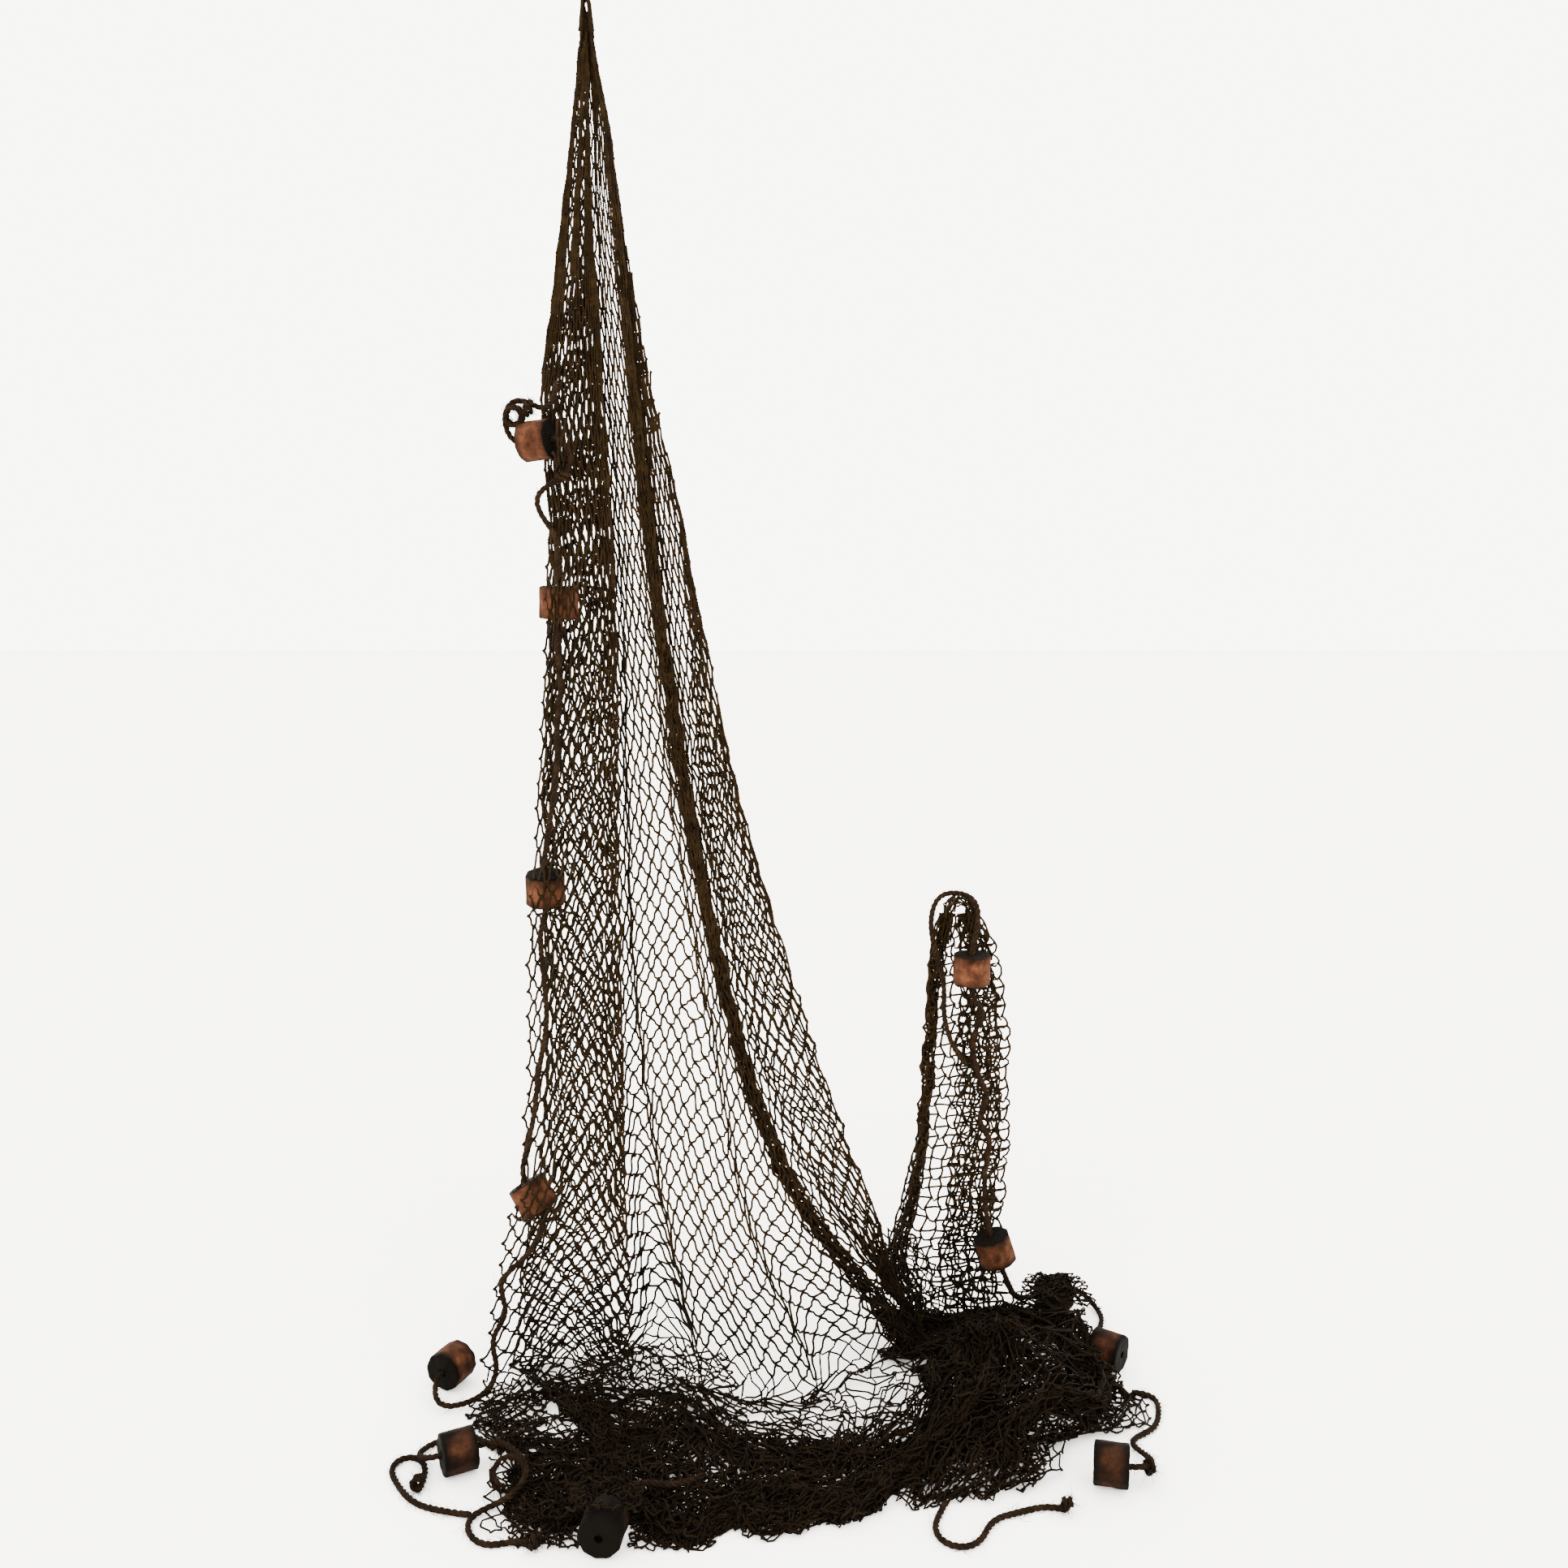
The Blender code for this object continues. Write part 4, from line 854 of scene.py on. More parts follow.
def crumpled_layer(layer, foot):
    """Knots of a loose layer in the pile, folded back on itself here and there."""
    v, u = np.mgrid[0 : 1 : (layer.rows + 1) * 1j, 0 : 1 : (layer.columns + 1) * 1j]
    random = np.random.default_rng(layer.seed)
    moved = []
    for base in (u, v):
        bend = np.zeros_like(base)
        for _ in range(FOLD_WAVES):
            a, b = random.uniform(-FOLD_PACE, FOLD_PACE, 2)
            bend += np.sin(a * u + b * v + random.uniform(0, 2 * math.pi))
        moved.append(base + layer.fold * bend / FOLD_WAVES)
    bounds = ((layer.across, moved[0]), (layer.shares, moved[1]))
    across, shares = [lo + (hi - lo) * np.clip(m, 0, 1) for (lo, hi), m in bounds]
    height = layer.height * (0.75 + 0.25 * np.sin(9 * u + 7 * v + layer.seed))
    knots = pool_points(foot, shares, across, height)
    knots = slack(knots, *LAYER_SLACK, layer.seed + 1)
    knots += random.normal(scale=STRAY_PILE, size=knots.shape)
    keep_above(knots, FLOOR + 0.8 * TWINE)
    return knots


def patch_knots(patch):
    """Knots of a patch of netting between its four corners."""
    v, u = np.mgrid[0 : 1 : patch.meshes * 2j, 0 : 1 : patch.meshes * 2j][..., None]
    a, b, c, d = (np.array((*corner, LOW)[:3]) for corner in (*patch.back, *patch.front))
    knots = (a * (1 - u) + b * u) * (1 - v) + (c * (1 - u) + d * u) * v
    return slack(knots, *PATCH_SLACK, patch.seed)


def bunch_knots():
    """Knots of the netting that is gathered into the tight bunch, pleat on pleat."""
    drops = np.linspace(BUNCH_DROP, MAIN_HANG[-1].drop - 0.004, BUNCH_ROWS + 1)
    s = read_rows(MAIN_HANG, drops)
    random = np.random.default_rng(51)
    share = np.linspace(0, BUNCH_PLEATS, BUNCH_COLUMNS + 1)
    share = abs((share + 1) % 2 - 1)[None] * np.ones((BUNCH_ROWS + 1, 1))
    share = BUNCH_START + BUNCH_WIDTH * share
    depth = -0.26 + 0.56 * np.linspace(0, 1, BUNCH_COLUMNS + 1)[None]
    knots = np.zeros((*share.shape, 3))
    knots[:, :, 0] = s.bunch_in[:, None] + (s.bunch_out - s.bunch_in)[:, None] * share
    knots[:, :, 1] = depth * s.gape[:, None] - s.lean[:, None]
    knots[:, :, 2] = -drops[:, None]
    return knots + random.normal(scale=STRAY_BUNCH, size=knots.shape)


# ---------------------------------------------------------------- strands

# A knot: half its width, how far the twine hooks past it and how much thicker it is.
KNOT_HALF = 0.0013
KNOT_DROP = 0.0017
KNOT_SWELL = 1.25

# Where a bar bends, as shares of its way across and up from its lower knot: near the
# lower knot and near the upper one, for a tight bar and for a slack one.
TIGHT_BEND = np.array(((0.40, 0.27), (0.60, 0.73)))
LOOSE_BEND = np.array(((0.60, 0.02), (0.70, 0.80)))

# A slack bar in the pile: how much of a bar it uses, how far it stands out, and how many
# rows it takes from the foot to do so fully.
CURL_LENGTH = (0.80, 1.12)
CURL_RISE = 0.42
FOOT_CURL = 9

# Near the eye, where many strands lie together, the twine is drawn thinner: how thin, the
# drop that this reaches down to and how far below it the full thickness is.
THIN_TWINE = 0.76
THIN_DROP = 0.15
THIN_FADE = 0.45


def unit(vectors):
    return vectors / np.maximum(np.linalg.norm(vectors, axis=-1, keepdims=True), 1e-9)


def row_strand(knots, row, first, last):
    """One length of twine that zigzags between two rows of knots, with its radii.

    It hooks over each upper knot and under each lower one, and its bars leave the knots
    straight up or down, so that they bend like an S."""
    columns = np.arange(first, last + 1)
    upper = (columns + row) % 2 == 0
    rows = np.where(upper, row, row + 1)
    here = knots[rows, columns]
    above = knots[np.maximum(rows - 1, 0), columns]
    below = knots[np.minimum(rows + 1, len(knots) - 1), columns]
    missing = (np.abs(above).sum(axis=1) == 0)[:, None]
    down = unit(np.where(missing, below - here, below - above))
    before = knots[rows, np.maximum(columns - 1, first)]
    after = knots[rows, np.minimum(columns + 1, last)]
    across = after - before
    across = unit(across - (across * down).sum(axis=1, keepdims=True) * down)
    out = np.cross(across, down)
    tip = np.where(upper, -1.0, 1.0)[:, None]
    gap = np.linalg.norm(after - before, axis=1, keepdims=True) / 2
    half = np.minimum(KNOT_HALF, 0.35 * gap + 0.0003)
    apex = here + down * tip * KNOT_DROP + out * tip * 0.0005
    into = here - across * half - down * tip * KNOT_DROP
    away = here + across * half - down * tip * KNOT_DROP
    start = away[:-1]
    end = into[1:]
    way = end - start
    lengthwise = (way * down[:-1]).sum(axis=1, keepdims=True) * down[:-1]
    sidewise = way - lengthwise
    span = np.linalg.norm(here[1:] - here[:-1], axis=1)[:, None]
    loose = np.clip((BAR - span) / (0.28 * BAR), 0, 1)
    low = TIGHT_BEND[0] + (LOOSE_BEND[0] - TIGHT_BEND[0]) * loose
    high = TIGHT_BEND[1] + (LOOSE_BEND[1] - TIGHT_BEND[1]) * loose
    falls = upper[:-1, None]
    count = len(columns)
    points = np.zeros((count, 5, 3))
    points[:, 0] = into
    points[:, 1] = apex
    points[:, 2] = away
    bends = (np.where(falls, 1 - high, low), np.where(falls, 1 - low, high))
    for place, bend in enumerate(bends, 3):
        points[:-1, place] = start + bend[:, :1] * sidewise + bend[:, 1:] * lengthwise
    radii = np.ones((count, 5))
    radii[:, :3] = KNOT_SWELL
    thicker = (-here[:, 2:] - THIN_DROP) / THIN_FADE
    radii *= np.clip(THIN_TWINE + (1 - THIN_TWINE) * thicker, THIN_TWINE, 1.0)
    whole = slice(5 * count - 2)
    return points.reshape(-1, 3)[whole], radii.ravel()[whole], np.repeat(columns, 5)[whole]


def curled_strand(knots, row, random, bends, curl=1.0):
    """A zigzag between two rows of knots whose slack bars curl out of line."""
    columns = np.arange(knots.shape[1])
    here = knots[np.where((columns + row) % 2 == 0, row, row + 1), columns]
    way = here[1:] - here[:-1]
    span = np.linalg.norm(way, axis=1, keepdims=True)
    side = random.normal(size=way.shape) * (1.0, 1.0, 0.7)
    side = unit(side - way * (side * way).sum(axis=1, keepdims=True) / span**2)
    reach = BAR * random.uniform(*CURL_LENGTH, (len(way), 1))
    rise = curl * CURL_RISE * np.sqrt(np.maximum(reach**2 - span**2, 0))
    points = np.zeros(((bends + 1) * len(way) + 1, 3))
    points[:: bends + 1] = here
    for index in range(bends):
        turn = math.pi * (index + 1) / (bends + 1)
        share = (1 - math.cos(turn)) / 2
        height = math.sin(turn)
        wander = random.normal(scale=0.0018, size=way.shape)
        points[index + 1 :: bends + 1] = here[:-1] + way * share + side * rise * height + wander
    keep_above(points, FLOOR + TWINE / 2)
    radii = np.ones(len(points))
    radii[:: bends + 1] = KNOT_SWELL
    return points, radii


ARCH_POINTS = 9
LEG_POINTS = 5
HEAD_TWINE = 0.92


def head_loops(head, seed):
    """Strands that hang over a head, legs down on both sides and side by side in depth."""
    random = np.random.default_rng(seed)
    turn = np.linspace(math.pi, 0, ARCH_POINTS)
    strands = []
    for radius in head.radii:
        for depth in np.linspace(-head.depth, head.depth, head.count):
            arch = np.stack([radius * np.cos(turn), 0 * turn, radius * np.sin(turn)], axis=1)
            legs = []
            for side in (-1, 1):
                fall = np.linspace(0.15, 1, LEG_POINTS)
                leg = np.zeros((LEG_POINTS, 3))
                leg[:, 0] = side * (radius + (head.spread * random.uniform(0.3, 1)) * fall)
                leg[:, 2] = -head.leg * fall * random.uniform(0.8, 1.1)
                legs.append(leg)
            points = np.vstack([legs[0][::-1], arch, legs[1]])
            narrow = 1 - 0.35 * np.clip(-points[:, 2] / head.leg, 0, 1)
            points[:, 1] = depth * narrow
            points += random.normal(scale=head.rough, size=points.shape)
            strands.append((points + head.middle, np.full(len(points), HEAD_TWINE)))
    return strands


def close_caps(mesh):
    """Joins each tube's caps to its sides."""
    shell = bmesh.new()
    shell.from_mesh(mesh)
    bmesh.ops.remove_doubles(shell, verts=shell.verts, dist=1e-6)
    shell.to_mesh(mesh)
    shell.free()


def ring_profile(radius, sides):
    """A many-sided ring that a strand is drawn along."""
    ring = bpy.data.curves.new("ring", "CURVE")
    ring.dimensions = "2D"
    spline = ring.splines.new("POLY")
    spline.points.add(sides - 1)
    spline.use_cyclic_u = True
    for index, point in enumerate(spline.points):
        turn = 2 * math.pi * index / sides
        point.co = (radius * math.cos(turn), radius * math.sin(turn), 0, 1)
    return add_object("ring", ring)


def tubes(name, strands, radius, material, sides=3):
    """One mesh of tubes along strands of (points, radii)."""
    fuller = math.sqrt(2 * math.pi / sides / math.sin(2 * math.pi / sides))
    ring = ring_profile(radius * fuller, sides)
    curve = bpy.data.curves.new(name, "CURVE")
    curve.dimensions = "3D"
    curve.bevel_mode = "OBJECT"
    curve.bevel_object = ring
    curve.use_fill_caps = True
    for points, radii in strands:
        spline = curve.splines.new("POLY")
        spline.points.add(len(points) - 1)
        spline.points.foreach_set("co", np.c_[points, np.ones(len(points))].ravel())
        spline.points.foreach_set("radius", radii)
    holder = add_object(name + "_route", curve)
    graph = bpy.context.evaluated_depsgraph_get()
    mesh = bpy.data.meshes.new_from_object(holder.evaluated_get(graph))
    mesh.name = name
    close_caps(mesh)
    bpy.data.objects.remove(holder)
    bpy.data.objects.remove(ring)
    bpy.data.curves.remove(curve)
    piece = add_object(name, mesh)
    mesh.materials.clear()
    mesh.materials.append(material)
    mesh.shade_smooth()
    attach(piece, "root")
    return piece


def over_floats(points, columns):
    """Lifts the front leaf's strands over the floats that they cross."""
    lifted = points.copy()
    front = columns <= FRONT_LEAF
    for row in FLOATS[:4]:
        off = abs(points - row.middle)
        round_it, along = (0, 2) if abs(row.bore[2]) > 0.5 else (2, 0)
        reach = FLOAT_DIAMETER / 2 + TWINE
        side = np.clip(off[:, round_it] / (reach + 0.002), 0, 1)
        fade = np.clip(1 - (off[:, along] - FLOAT_LENGTH / 2) / FALL_BACK, 0, 1)
        fade = fade * fade * (3 - 2 * fade)
        cover = row.middle[1] - reach * np.sqrt(1 - side**2)
        lift = np.maximum((points[:, 1] - cover) * fade, 0)
        lift[~front | (side >= 1)] = 0
        lifted[:, 1] = np.minimum(lifted[:, 1], points[:, 1] - lift)
        lifted[:, 0] += DRAWN_IN * lift
    return lifted


Yarn = namedtuple("Yarn", "material radius")
LYING_TWINE = 0.80  # twine on the surface, as a share of the thickness in the hangs


def net_strands(knots, rows, last):
    """Strands for rows of the hang. It hangs from a corner of the netting, so that its
    upper rows are shorter."""
    strands = []
    for row in rows:
        left = CORNER_LEFT * max(0.0, 1 - row / LEFT_CORNER_ROWS)
        right = CORNER_RIGHT * max(0.0, 1 - row / RIGHT_CORNER_ROWS)
        ends = (int(left), last - int(right))
        points, radii, columns = row_strand(knots, row, *ends)
        points = over_floats(points, columns)
        keep_above(points, FLOOR + TWINE / 2)
        strands.append((points, radii))
    return strands


def loose_piece(name, strands, yarn):
    """A part of the netting as one mesh of tubes along its strands, in place of the model's
    netting part."""
    piece = tubes(name, strands, yarn.radius, yarn.material)
    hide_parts("netting")


def pile_piece(name, layers, foot, yarn, bends):
    """Loose layers of the pile as one piece."""
    strands = []
    for layer in layers:
        knots = crumpled_layer(layer, foot)
        random = np.random.default_rng(layer.seed + 7)
        strands += [curled_strand(knots, row, random, bends) for row in range(layer.rows)]
    loose_piece(name, strands, yarn)


# ---------------------------------------------------------------- ropes

# How far a stretch runs straight out of a bore and how far inside it starts, the steps
# between its own points, and the step of its finished route.
STRAIGHT_OUT = 0.012
INTO_BORE = 0.004
ROUTE_STEPS = 20
ROPE_STEP = 0.0024

# How stiffly rope opens its bends out, and how firmly a bore holds it.
ROPE_BACKBONE = 480.0
HELD_FAST = 1e5

LAY_LENGTH = 0.026  # of one turn of its strands
OFF_MIDDLE = 1.1547  # how far three touching strands lie off the rope's middle, in radii
STRAND_FULLNESS = 1.12
HAIR_LENGTH = 0.0016
HAIR = 0.00020
COIL_ROPE = 0.85  # a coil's rope is drawn this much thinner, as it is pulled tight


def bore_point(end, beyond):
    """A point on a float's bore line, this far outside the face that the end names."""
    name, side = end
    row = next(row for row in FLOATS if row.name == name)
    way = np.array(row.bore) / np.linalg.norm(row.bore) * side
    return np.array(row.middle) + way * (FLOAT_LENGTH / 2 + beyond)


def evenly_spaced(line, step):
    """Points about this far apart along the line."""
    along = way_along(line)
    count = max(4, round(along[-1] / step))
    spots = np.linspace(0, along[-1], count + 1)
    return np.stack([np.interp(spots, along, line[:, axis]) for axis in range(3)], axis=1)


def corners_eased(route, step, ends):
    """The route as stiff rope takes it: bends opened out, the stretch in each bore kept."""
    count = len(route)
    hold = np.ones(count)
    first, last = (int(inside / step) + 1 for inside in ends)
    hold[:first] = hold[count - last :] = HELD_FAST
    bend = np.diff(np.eye(count), 2, axis=0)
    stiff = np.diag(hold) + ROPE_BACKBONE * bend.T @ bend
    return np.linalg.solve(stiff, hold[:, None] * route)


def rope_route(stretch, step):
    """Evenly spaced points on a smooth curve through the stretch's own points."""
    knots = [np.array((*point, LYING)[:3]) for point in stretch.points]
    if stretch.first:
        knots.insert(0, bore_point(stretch.first, STRAIGHT_OUT))
    if stretch.last:
        knots.append(bore_point(stretch.last, STRAIGHT_OUT))
    pieces = ROUTE_STEPS * (len(knots) - 1)
    fine = smooth_places(knots, np.linspace(0, 1, pieces + 1))
    keep_above(fine, LYING)
    if stretch.first:
        fine = np.vstack([bore_point(stretch.first, -INTO_BORE), fine])
    if stretch.last:
        fine = np.vstack([fine, bore_point(stretch.last, -INTO_BORE)])
    ends = [INTO_BORE if end else 0.0 for end in (stretch.first, stretch.last)]
    eased = corners_eased(evenly_spaced(fine, step), step, ends)
    keep_above(eased, LYING)
    return evenly_spaced(eased, step)


def carried_frame(route):
    """A side vector at each point that turns with the route and never twists."""
    ways = unit(np.gradient(route, axis=0))
    start = np.array((0.0, 0.0, 1.0)) if abs(ways[0][2]) < 0.9 else np.array((1.0, 0.0, 0.0))
    side = np.cross(ways[0], start)
    sides = []
    for way in ways:
        side = side - way * side.dot(way)
        side = side / np.linalg.norm(side)
        sides.append(side)
    sides = np.array(sides)
    return sides, np.cross(ways, sides)


def laid_strands(route, diameter, lay_length):
    """Three strands that wind round the route, as rope is laid."""
    strand = diameter / 2 / (1 + OFF_MIDDLE)
    sides, ups = carried_frame(route)
    along = way_along(route)
    strands = []
    for index in range(3):
        turn = 2 * math.pi * (along / lay_length + index / 3)
        offset = np.cos(turn)[:, None] * sides + np.sin(turn)[:, None] * ups
        points = route + offset * strand * OFF_MIDDLE
        strands.append((points, np.ones(len(route))))
    return strands, strand * STRAND_FULLNESS


def hairs(route, diameter, per_metre, random):
    """Fibre ends that stand out of the rope."""
    sides, ups = carried_frame(route)
    ways = unit(np.gradient(route, axis=0))
    strands = []
    for _ in range(round(per_metre * steps(route).sum())):
        index = random.integers(0, len(route))
        turn = random.uniform(0, 2 * math.pi)
        out = math.cos(turn) * sides[index] + math.sin(turn) * ups[index]
        reach = random.gamma(2.0, HAIR_LENGTH)
        sweep = ways[index] * random.normal(scale=0.9) + random.normal(scale=0.35, size=3)
        start = route[index] + out * diameter * 0.40
        middle = start + (out * 0.8 + sweep * 0.4) * reach
        tip = middle + (out * 0.3 + sweep) * reach
        points = np.array((start, middle, tip))
        keep_above(points, FLOOR + 0.0002)
        strands.append((points, np.array((1.0, 0.8, 0.4))))
    return strands


def coil_route(coil, step):
    """Points along a few turns of rope round an axis."""
    axis = np.array(coil.axis) / np.linalg.norm(coil.axis)
    side = unit(np.cross(axis, (0.3, 0.2, 0.9)))
    up = np.cross(axis, side)
    count = round(2 * math.pi * coil.radius * coil.turns / step)
    turn = np.linspace(0, 2 * math.pi * coil.turns, count + 1)[:, None]
    wide = coil.radius * (1 + 0.15 * np.sin(turn * 0.7))
    along = coil.length * (turn / turn[-1] - 0.5)
    return np.array(coil.middle) + wide * (np.cos(turn) * side + np.sin(turn) * up) + along * axis


# ---------------------------------------------------------------- floats

# A float's cut: its sides, the insets of its ends, the bevel of its rims, the least turn
# and reach of an edge that is a rim, the longest edge that isn't cut up, the bore, and how
# far the painted shade reaches in from its ends.
CORK_SIDES = 10
END_INSETS = (0.012, 0.0105)
RIM = 0.0028
RIM_TURN = 0.3
RIM_REACH = 0.02
LONG_EDGE = 0.008
BORE_RADIUS = 0.0058
BORE_DEPTH = 0.007
END_SHADE = 0.006

# How the cork's skin varies: waves in each metre, and how deep its dents and pits are.
DENTS = (60, 0.0009)
PITS = (190, 0.0004)
GRIME_WAVES = 40


def cork_block(row, material, seed):
    """A cork float: a cut block with soft rims, a bore and a pitted, worn skin."""
    mesh = bmesh.new()
    radius = FLOAT_DIAMETER / 2
    bmesh.ops.create_cone(mesh, cap_ends=True, segments=CORK_SIDES, radius1=radius,
                          radius2=radius, depth=FLOAT_LENGTH)
    ends = [face for face in mesh.faces if abs(face.normal.z) > 0.9]
    for inset in END_INSETS:
        bmesh.ops.inset_region(mesh, faces=ends, thickness=inset, use_even_offset=True)
    for face in ends:
        middle = face.calc_center_median()
        for vert in face.verts:
            vert.co = middle + (vert.co - middle).normalized() * BORE_RADIUS
    for face in bmesh.ops.extrude_discrete_faces(mesh, faces=ends)["faces"]:
        bmesh.ops.translate(mesh, vec=-face.normal * BORE_DEPTH, verts=face.verts)
    rims = []
    for edge in mesh.edges:
        outer = max(vert.co.xy.length for vert in edge.verts) > RIM_REACH
        if outer and not edge.is_boundary and edge.calc_face_angle(0) > RIM_TURN:
            rims.append(edge)
    bmesh.ops.bevel(mesh, geom=rims, offset=RIM, segments=2, profile=0.5, affect="EDGES",
                    material=-1)
    long_edges = [edge for edge in mesh.edges if edge.calc_length() > LONG_EDGE]
    bmesh.ops.subdivide_edges(mesh, edges=long_edges, cuts=3, use_grid_fill=True)
    bmesh.ops.triangulate(mesh, faces=[face for face in mesh.faces if len(face.verts) > 4])
    # A mask of darkening: real stains from noise, soot that is partly painted shade, and painted
    # shade at the ends and in the bore.
    grime_and_shade = mesh.verts.layers.float.new("grime_and_shade")
    mesh.normal_update()
    for vert in mesh.verts:
        dents = noise.noise(vert.co * DENTS[0] + Vector((seed * 7.1, 0, 0))) * DENTS[1]
        pits = noise.noise(vert.co * PITS[0]) * PITS[1]
        stain = max(0.0, noise.noise(vert.co * GRIME_WAVES + Vector((seed, 0, 0))))
        # Painted shade that darkens the cork towards its ends.
        at_end = max(0.0, abs(vert.co.z) - FLOAT_LENGTH / 2 + END_SHADE) / END_SHADE
        # Each float's soot, partly real dirt and partly painted shade, plus real stains.
        vert[grime_and_shade] = min(1.0, 0.97 * at_end + row.soot + 0.35 * stain)
        # Painted shade: the bore and its mouth are darkened fully.
        if vert.co.xy.length < BORE_RADIUS * 1.4:
            vert[grime_and_shade] = 1.0
        else:
            vert.co += vert.normal * (dents + pits)
    turn = Vector((0, 0, 1)).rotation_difference(Vector(row.bore).normalized())
    bmesh.ops.rotate(mesh, cent=(0, 0, 0), matrix=turn.to_matrix(), verts=mesh.verts)
    bmesh.ops.translate(mesh, vec=row.middle, verts=mesh.verts)
    bmesh.ops.recalc_face_normals(mesh, faces=mesh.faces)
    data = bpy.data.meshes.new(row.name + "_cork")
    mesh.to_mesh(data)
    mesh.free()
    data.materials.append(material)
    data.shade_smooth()
    data.set_sharp_from_angle(angle=math.radians(40))
    block = add_object(data.name, data)
    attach(block, "root")
    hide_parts(row.name)


# ---------------------------------------------------------------- settings and operators

TWINE_COLOUR = linear("#130b03")[:3]
ROPE_COLOUR = linear("#120a04")[:3]
CORK_COLOUR = linear("#422618")[:3]


class NetSizes(bpy.types.PropertyGroup):
    """Sizes and colours that a user may change."""

    twine: bpy.props.FloatProperty(
        name="Twine", description="Thickness of the twine", default=TWINE, unit="LENGTH"
    )
    rope: bpy.props.FloatProperty(
        name="Rope", description="Thickness of the float line", default=ROPE, unit="LENGTH"
    )
    hairs: bpy.props.IntProperty(
        name="Hairs", description="Fibre ends on each metre of rope", default=1100, min=0
    )
    twine_colour: bpy.props.FloatVectorProperty(
        name="Twine colour", description="Tarred twine", default=TWINE_COLOUR, subtype="COLOR"
    )
    rope_colour: bpy.props.FloatVectorProperty(
        name="Rope colour", description="Coir of the line", default=ROPE_COLOUR, subtype="COLOR"
    )
    cork_colour: bpy.props.FloatVectorProperty(
        name="Cork colour", description="Stain of cork", default=CORK_COLOUR, subtype="COLOR"
    )
    focal: bpy.props.FloatProperty(
        name="Focal length", description="Camera lens, in millimetres", default=33.54, min=10
    )


class NET_OT_stage(bpy.types.Operator):
    """Puts in the floor, the lights and the camera"""

    bl_idname = "gill_net.stage"
    bl_label = "Set the stage"

    def execute(self, context):
        add_stage(context.scene.net_sizes.focal)
        return {"FINISHED"}


class NET_OT_rope(bpy.types.Operator):
    """Lays the float line, its free ends and their hairs"""

    bl_idname = "gill_net.rope"
    bl_label = "Lay the float line"

    def execute(self, context):
        sizes = context.scene.net_sizes
        lay_ropes(sizes.rope, sizes.hairs, sizes.rope_colour)
        return {"FINISHED"}


class NET_OT_netting(bpy.types.Operator):
    """Knots both hangs and the netting on the surface"""

    bl_idname = "gill_net.netting"
    bl_label = "Knot the netting"

    def execute(self, context):
        sizes = context.scene.net_sizes
        knot_netting(sizes.twine, sizes.twine_colour)
        return {"FINISHED"}


class NET_OT_floats(bpy.types.Operator):
    """Cuts the cork floats and threads them on the line"""

    bl_idname = "gill_net.floats"
    bl_label = "Thread the floats"

    def execute(self, context):
        material = stained_cork(context.scene.net_sizes.cork_colour)
        for seed, row in enumerate(FLOATS):
            cork_block(row, material, seed)
        return {"FINISHED"}


class NET_PT_panel(bpy.types.Panel):
    """The net's tools in the sidebar"""

    bl_label = "Gill net"
    bl_idname = "NET_PT_panel"
    bl_space_type = "VIEW_3D"
    bl_region_type = "UI"
    bl_category = "Net"

    def draw(self, context):
        sizes = context.scene.net_sizes
        for name in NetSizes.__annotations__:
            self.layout.prop(sizes, name)
        for operator in OPERATORS:
            self.layout.operator(operator.bl_idname)


OPERATORS = (NET_OT_stage, NET_OT_rope, NET_OT_netting, NET_OT_floats)
CLASSES = (NetSizes, *OPERATORS, NET_PT_panel)


# ---------------------------------------------------------------- making each group

CAMERA_PLACE = (0.279, -2.22, -0.715)
CAMERA_PITCH = math.radians(10.3)
FLOOR_SIZE = 24.0
SKY_STRENGTH = 9.0
LIT_PLACE = (0.2, -0.2, -1.2)


def pale_paint():
    """Plain pale paint for the floor."""
    material, shader = new_material("pale floor paint", 0.9)
    set_sockets(material, shader, {"Base Color": linear("#efeeea")})
    return material


def area_light(name, place, size, power):
    """A soft square light that looks at the net."""
    lamp = bpy.data.lights.new(name, "AREA")
    lamp.size = size
    lamp.energy = power
    light = add_object(name, lamp)
    light.location = place
    way = Vector(LIT_PLACE) - Vector(place)
    light.rotation_euler = way.to_track_quat("-Z", "Y").to_euler()


def add_stage(focal):
    """A pale floor under the net, soft light and the camera."""
    mesh = bmesh.new()
    bmesh.ops.create_grid(mesh, x_segments=1, y_segments=1, size=FLOOR_SIZE / 2)
    bmesh.ops.translate(mesh, vec=(0.3, 0.0, FLOOR), verts=mesh.verts)
    data = bpy.data.meshes.new("floor")
    mesh.to_mesh(data)
    mesh.free()
    data.materials.append(pale_paint())
    floor = add_object("floor", data)
    world = bpy.data.worlds.new("pale room")
    world.use_nodes = True
    sky = world.node_tree.nodes["Background"]
    sky.inputs["Color"].default_value = linear("#f8f6f1")
    sky.inputs["Strength"].default_value = SKY_STRENGTH
    bpy.context.scene.world = world
    area_light("key", (-1.8, -2.6, 0.9), 1.6, 110)
    area_light("fill", (2.6, -2.0, 0.2), 2.2, 25)
    lens = bpy.data.cameras.new("camera")
    lens.lens = focal
    lens.sensor_width = 36.0
    camera = add_object("camera", lens)
    camera.location = CAMERA_PLACE
    camera.rotation_euler = (math.pi / 2 - CAMERA_PITCH, 0, 0)
    bpy.context.scene.camera = camera


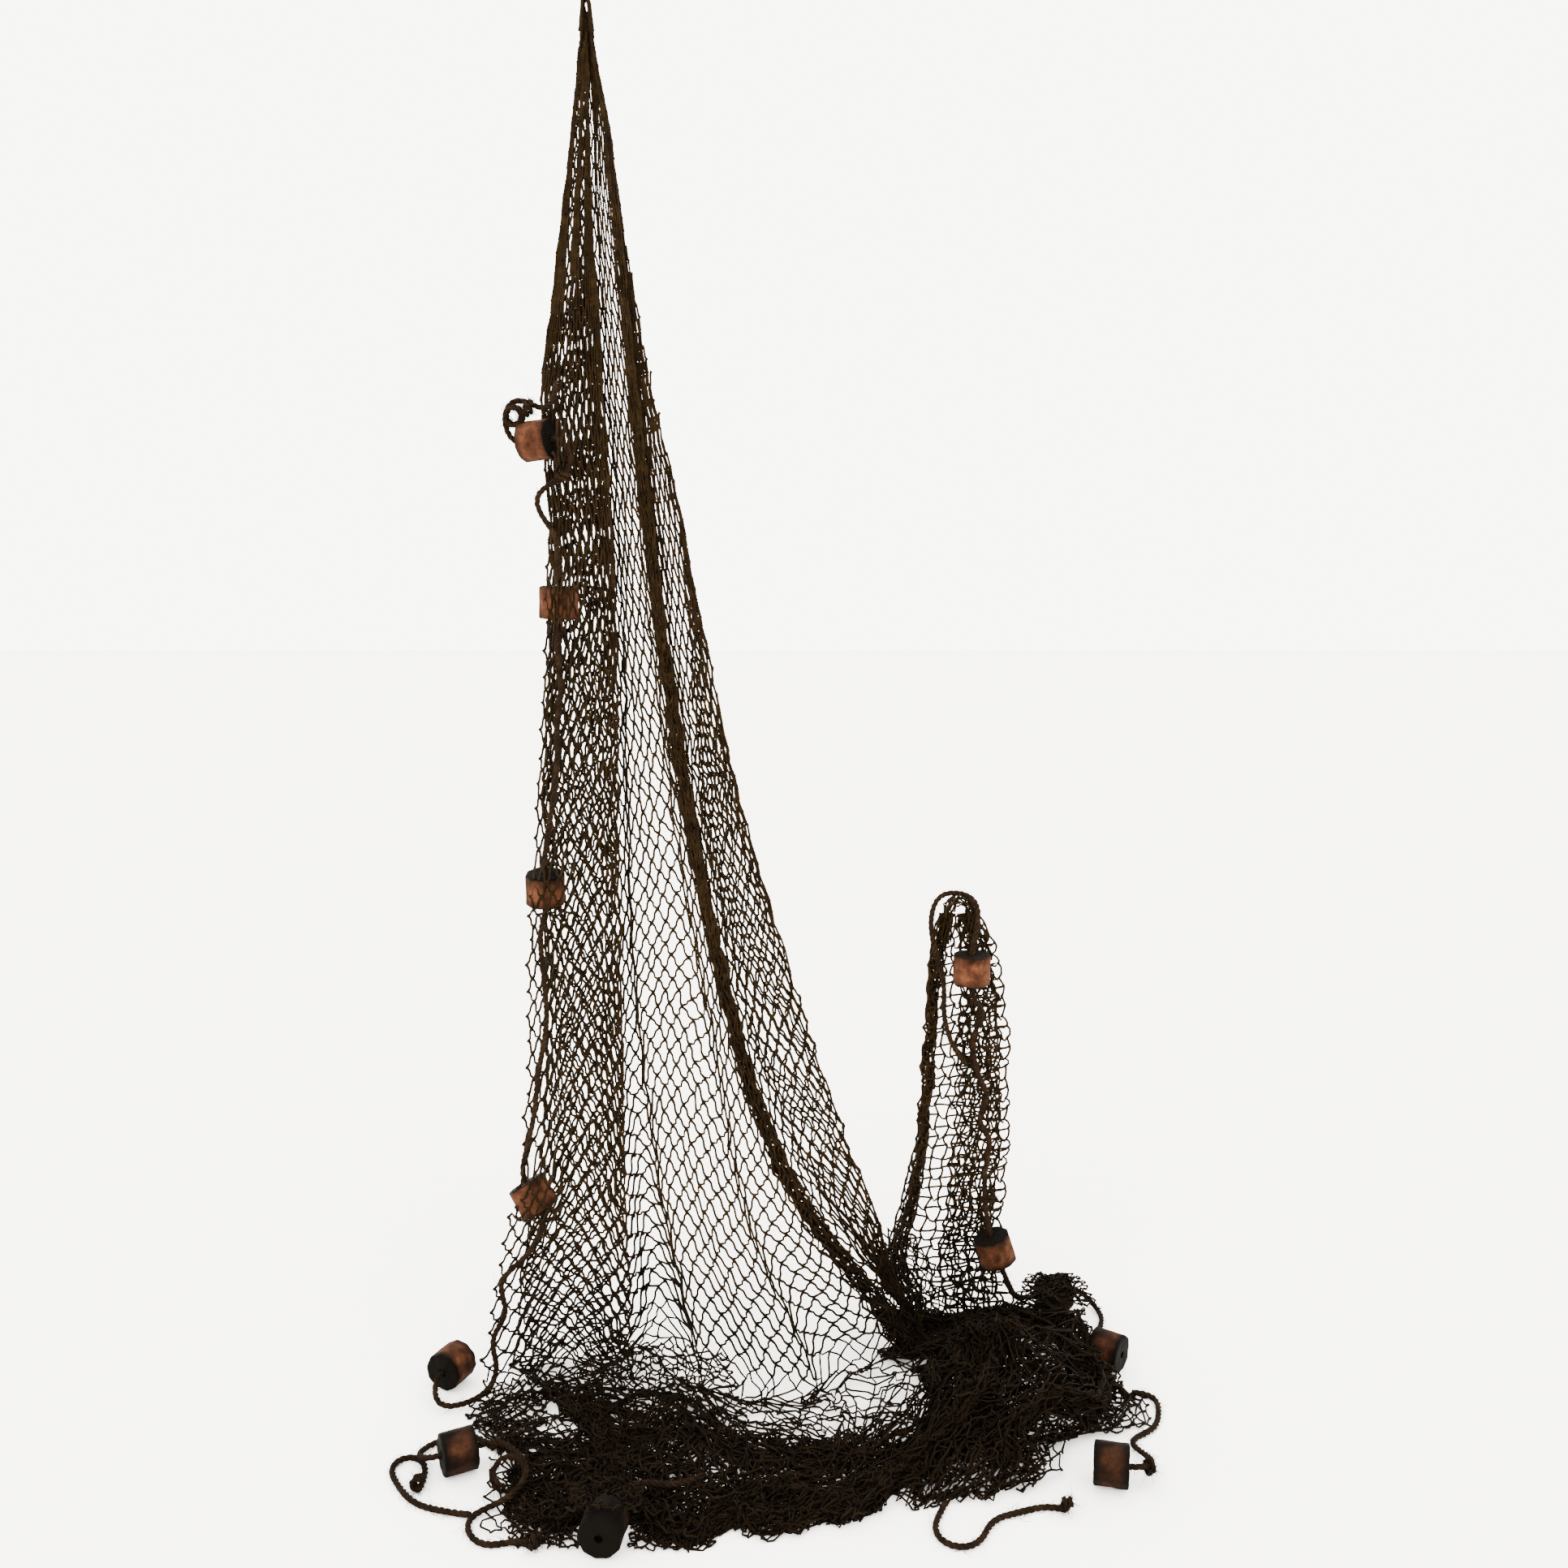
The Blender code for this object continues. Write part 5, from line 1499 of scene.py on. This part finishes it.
def lay_ropes(diameter, per_metre, colour):
    """Every stretch of the float line as laid rope, and one piece for their hairs."""
    material = coir_rope(colour)
    random = np.random.default_rng(21)
    fuzz = []
    for stretch in STRETCHES:
        route = rope_route(stretch, ROPE_STEP)
        strands, radius = laid_strands(route, diameter, LAY_LENGTH)
        piece = tubes(stretch.name + "_rope", strands, radius, material, sides=6)
        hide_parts(stretch.name)
        fuzz += hairs(route, diameter, per_metre, random)
    wound = []
    for coil in COILS:
        route = coil_route(coil, ROPE_STEP)
        strands, radius = laid_strands(route, COIL_ROPE * diameter, LAY_LENGTH)
        wound += strands
        fuzz += hairs(route, diameter, 2 * per_metre, random)
    knots = tubes("rope_knots", wound, COIL_ROPE * radius, material, sides=6)
    hair = tubes("rope_hairs", fuzz, HAIR, material)


def knot_netting(twine, colour):
    """The netting in pieces, each of whole rows of meshes."""
    yarn = Yarn(tarred_twine(colour), twine / 2)
    loose = Yarn(yarn.material, LYING_TWINE * yarn.radius)
    knots, main, foot = knotted_net()
    hangs = {"net_hang_upper": range(MIDDLE_ROW), "net_hang_lower": range(MIDDLE_ROW, FOOT_ROW)}
    for name, rows in hangs.items():
        strands = net_strands(knots, rows, main - 1)
        loose_piece(name, strands, yarn)
    random = np.random.default_rng(14)
    rows = range(FOOT_ROW, LAST_ROW)
    curls = np.clip(np.arange(1, len(rows) + 1) / FOOT_CURL, 0.3, 1)
    strands = [curled_strand(knots, row, random, 2, curl) for row, curl in zip(rows, curls)]
    loose_piece("net_pool", strands, loose)
    loose_piece("net_hang_side", side_strands(), yarn)
    bunch = bunch_knots()
    strands = [curled_strand(bunch, row, random, 1) for row in range(BUNCH_ROWS)]
    loose_piece("net_bunch", strands, yarn)
    strands = []
    for patch in PATCHES:
        laid = patch_knots(patch)
        strands += [curled_strand(laid, row, random, 2, 0.5) for row in range(len(laid) - 1)]
    loose_piece("net_patches", strands, loose)
    pile_piece("net_heap", HEAP_LAYERS, foot, loose, 3)
    pile_piece("net_heap_core", HEAP_CORE, foot, loose, 2)
    pile_piece("net_band", BAND_LAYERS, foot, loose, 3)
    pile_piece("net_band_core", BAND_CORE, foot, loose, 2)
    for name, head, seed in (("net_head", MAIN_HEAD, 61), ("net_side_head", SIDE_HEAD, 62)):
        piece = tubes(name, head_loops(head, seed), yarn.radius, yarn.material)


def register():
    for part in CLASSES:
        bpy.utils.register_class(part)
    bpy.types.Scene.net_sizes = bpy.props.PointerProperty(type=NetSizes)


def unregister():
    del bpy.types.Scene.net_sizes
    for part in reversed(CLASSES):
        bpy.utils.unregister_class(part)


def main():
    """Registers the classes and makes every piece."""
    register()
    bpy.ops.gill_net.stage()
    bpy.ops.gill_net.rope()
    bpy.ops.gill_net.netting()
    bpy.ops.gill_net.floats()
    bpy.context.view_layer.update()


if __name__ == "__main__":
    main()
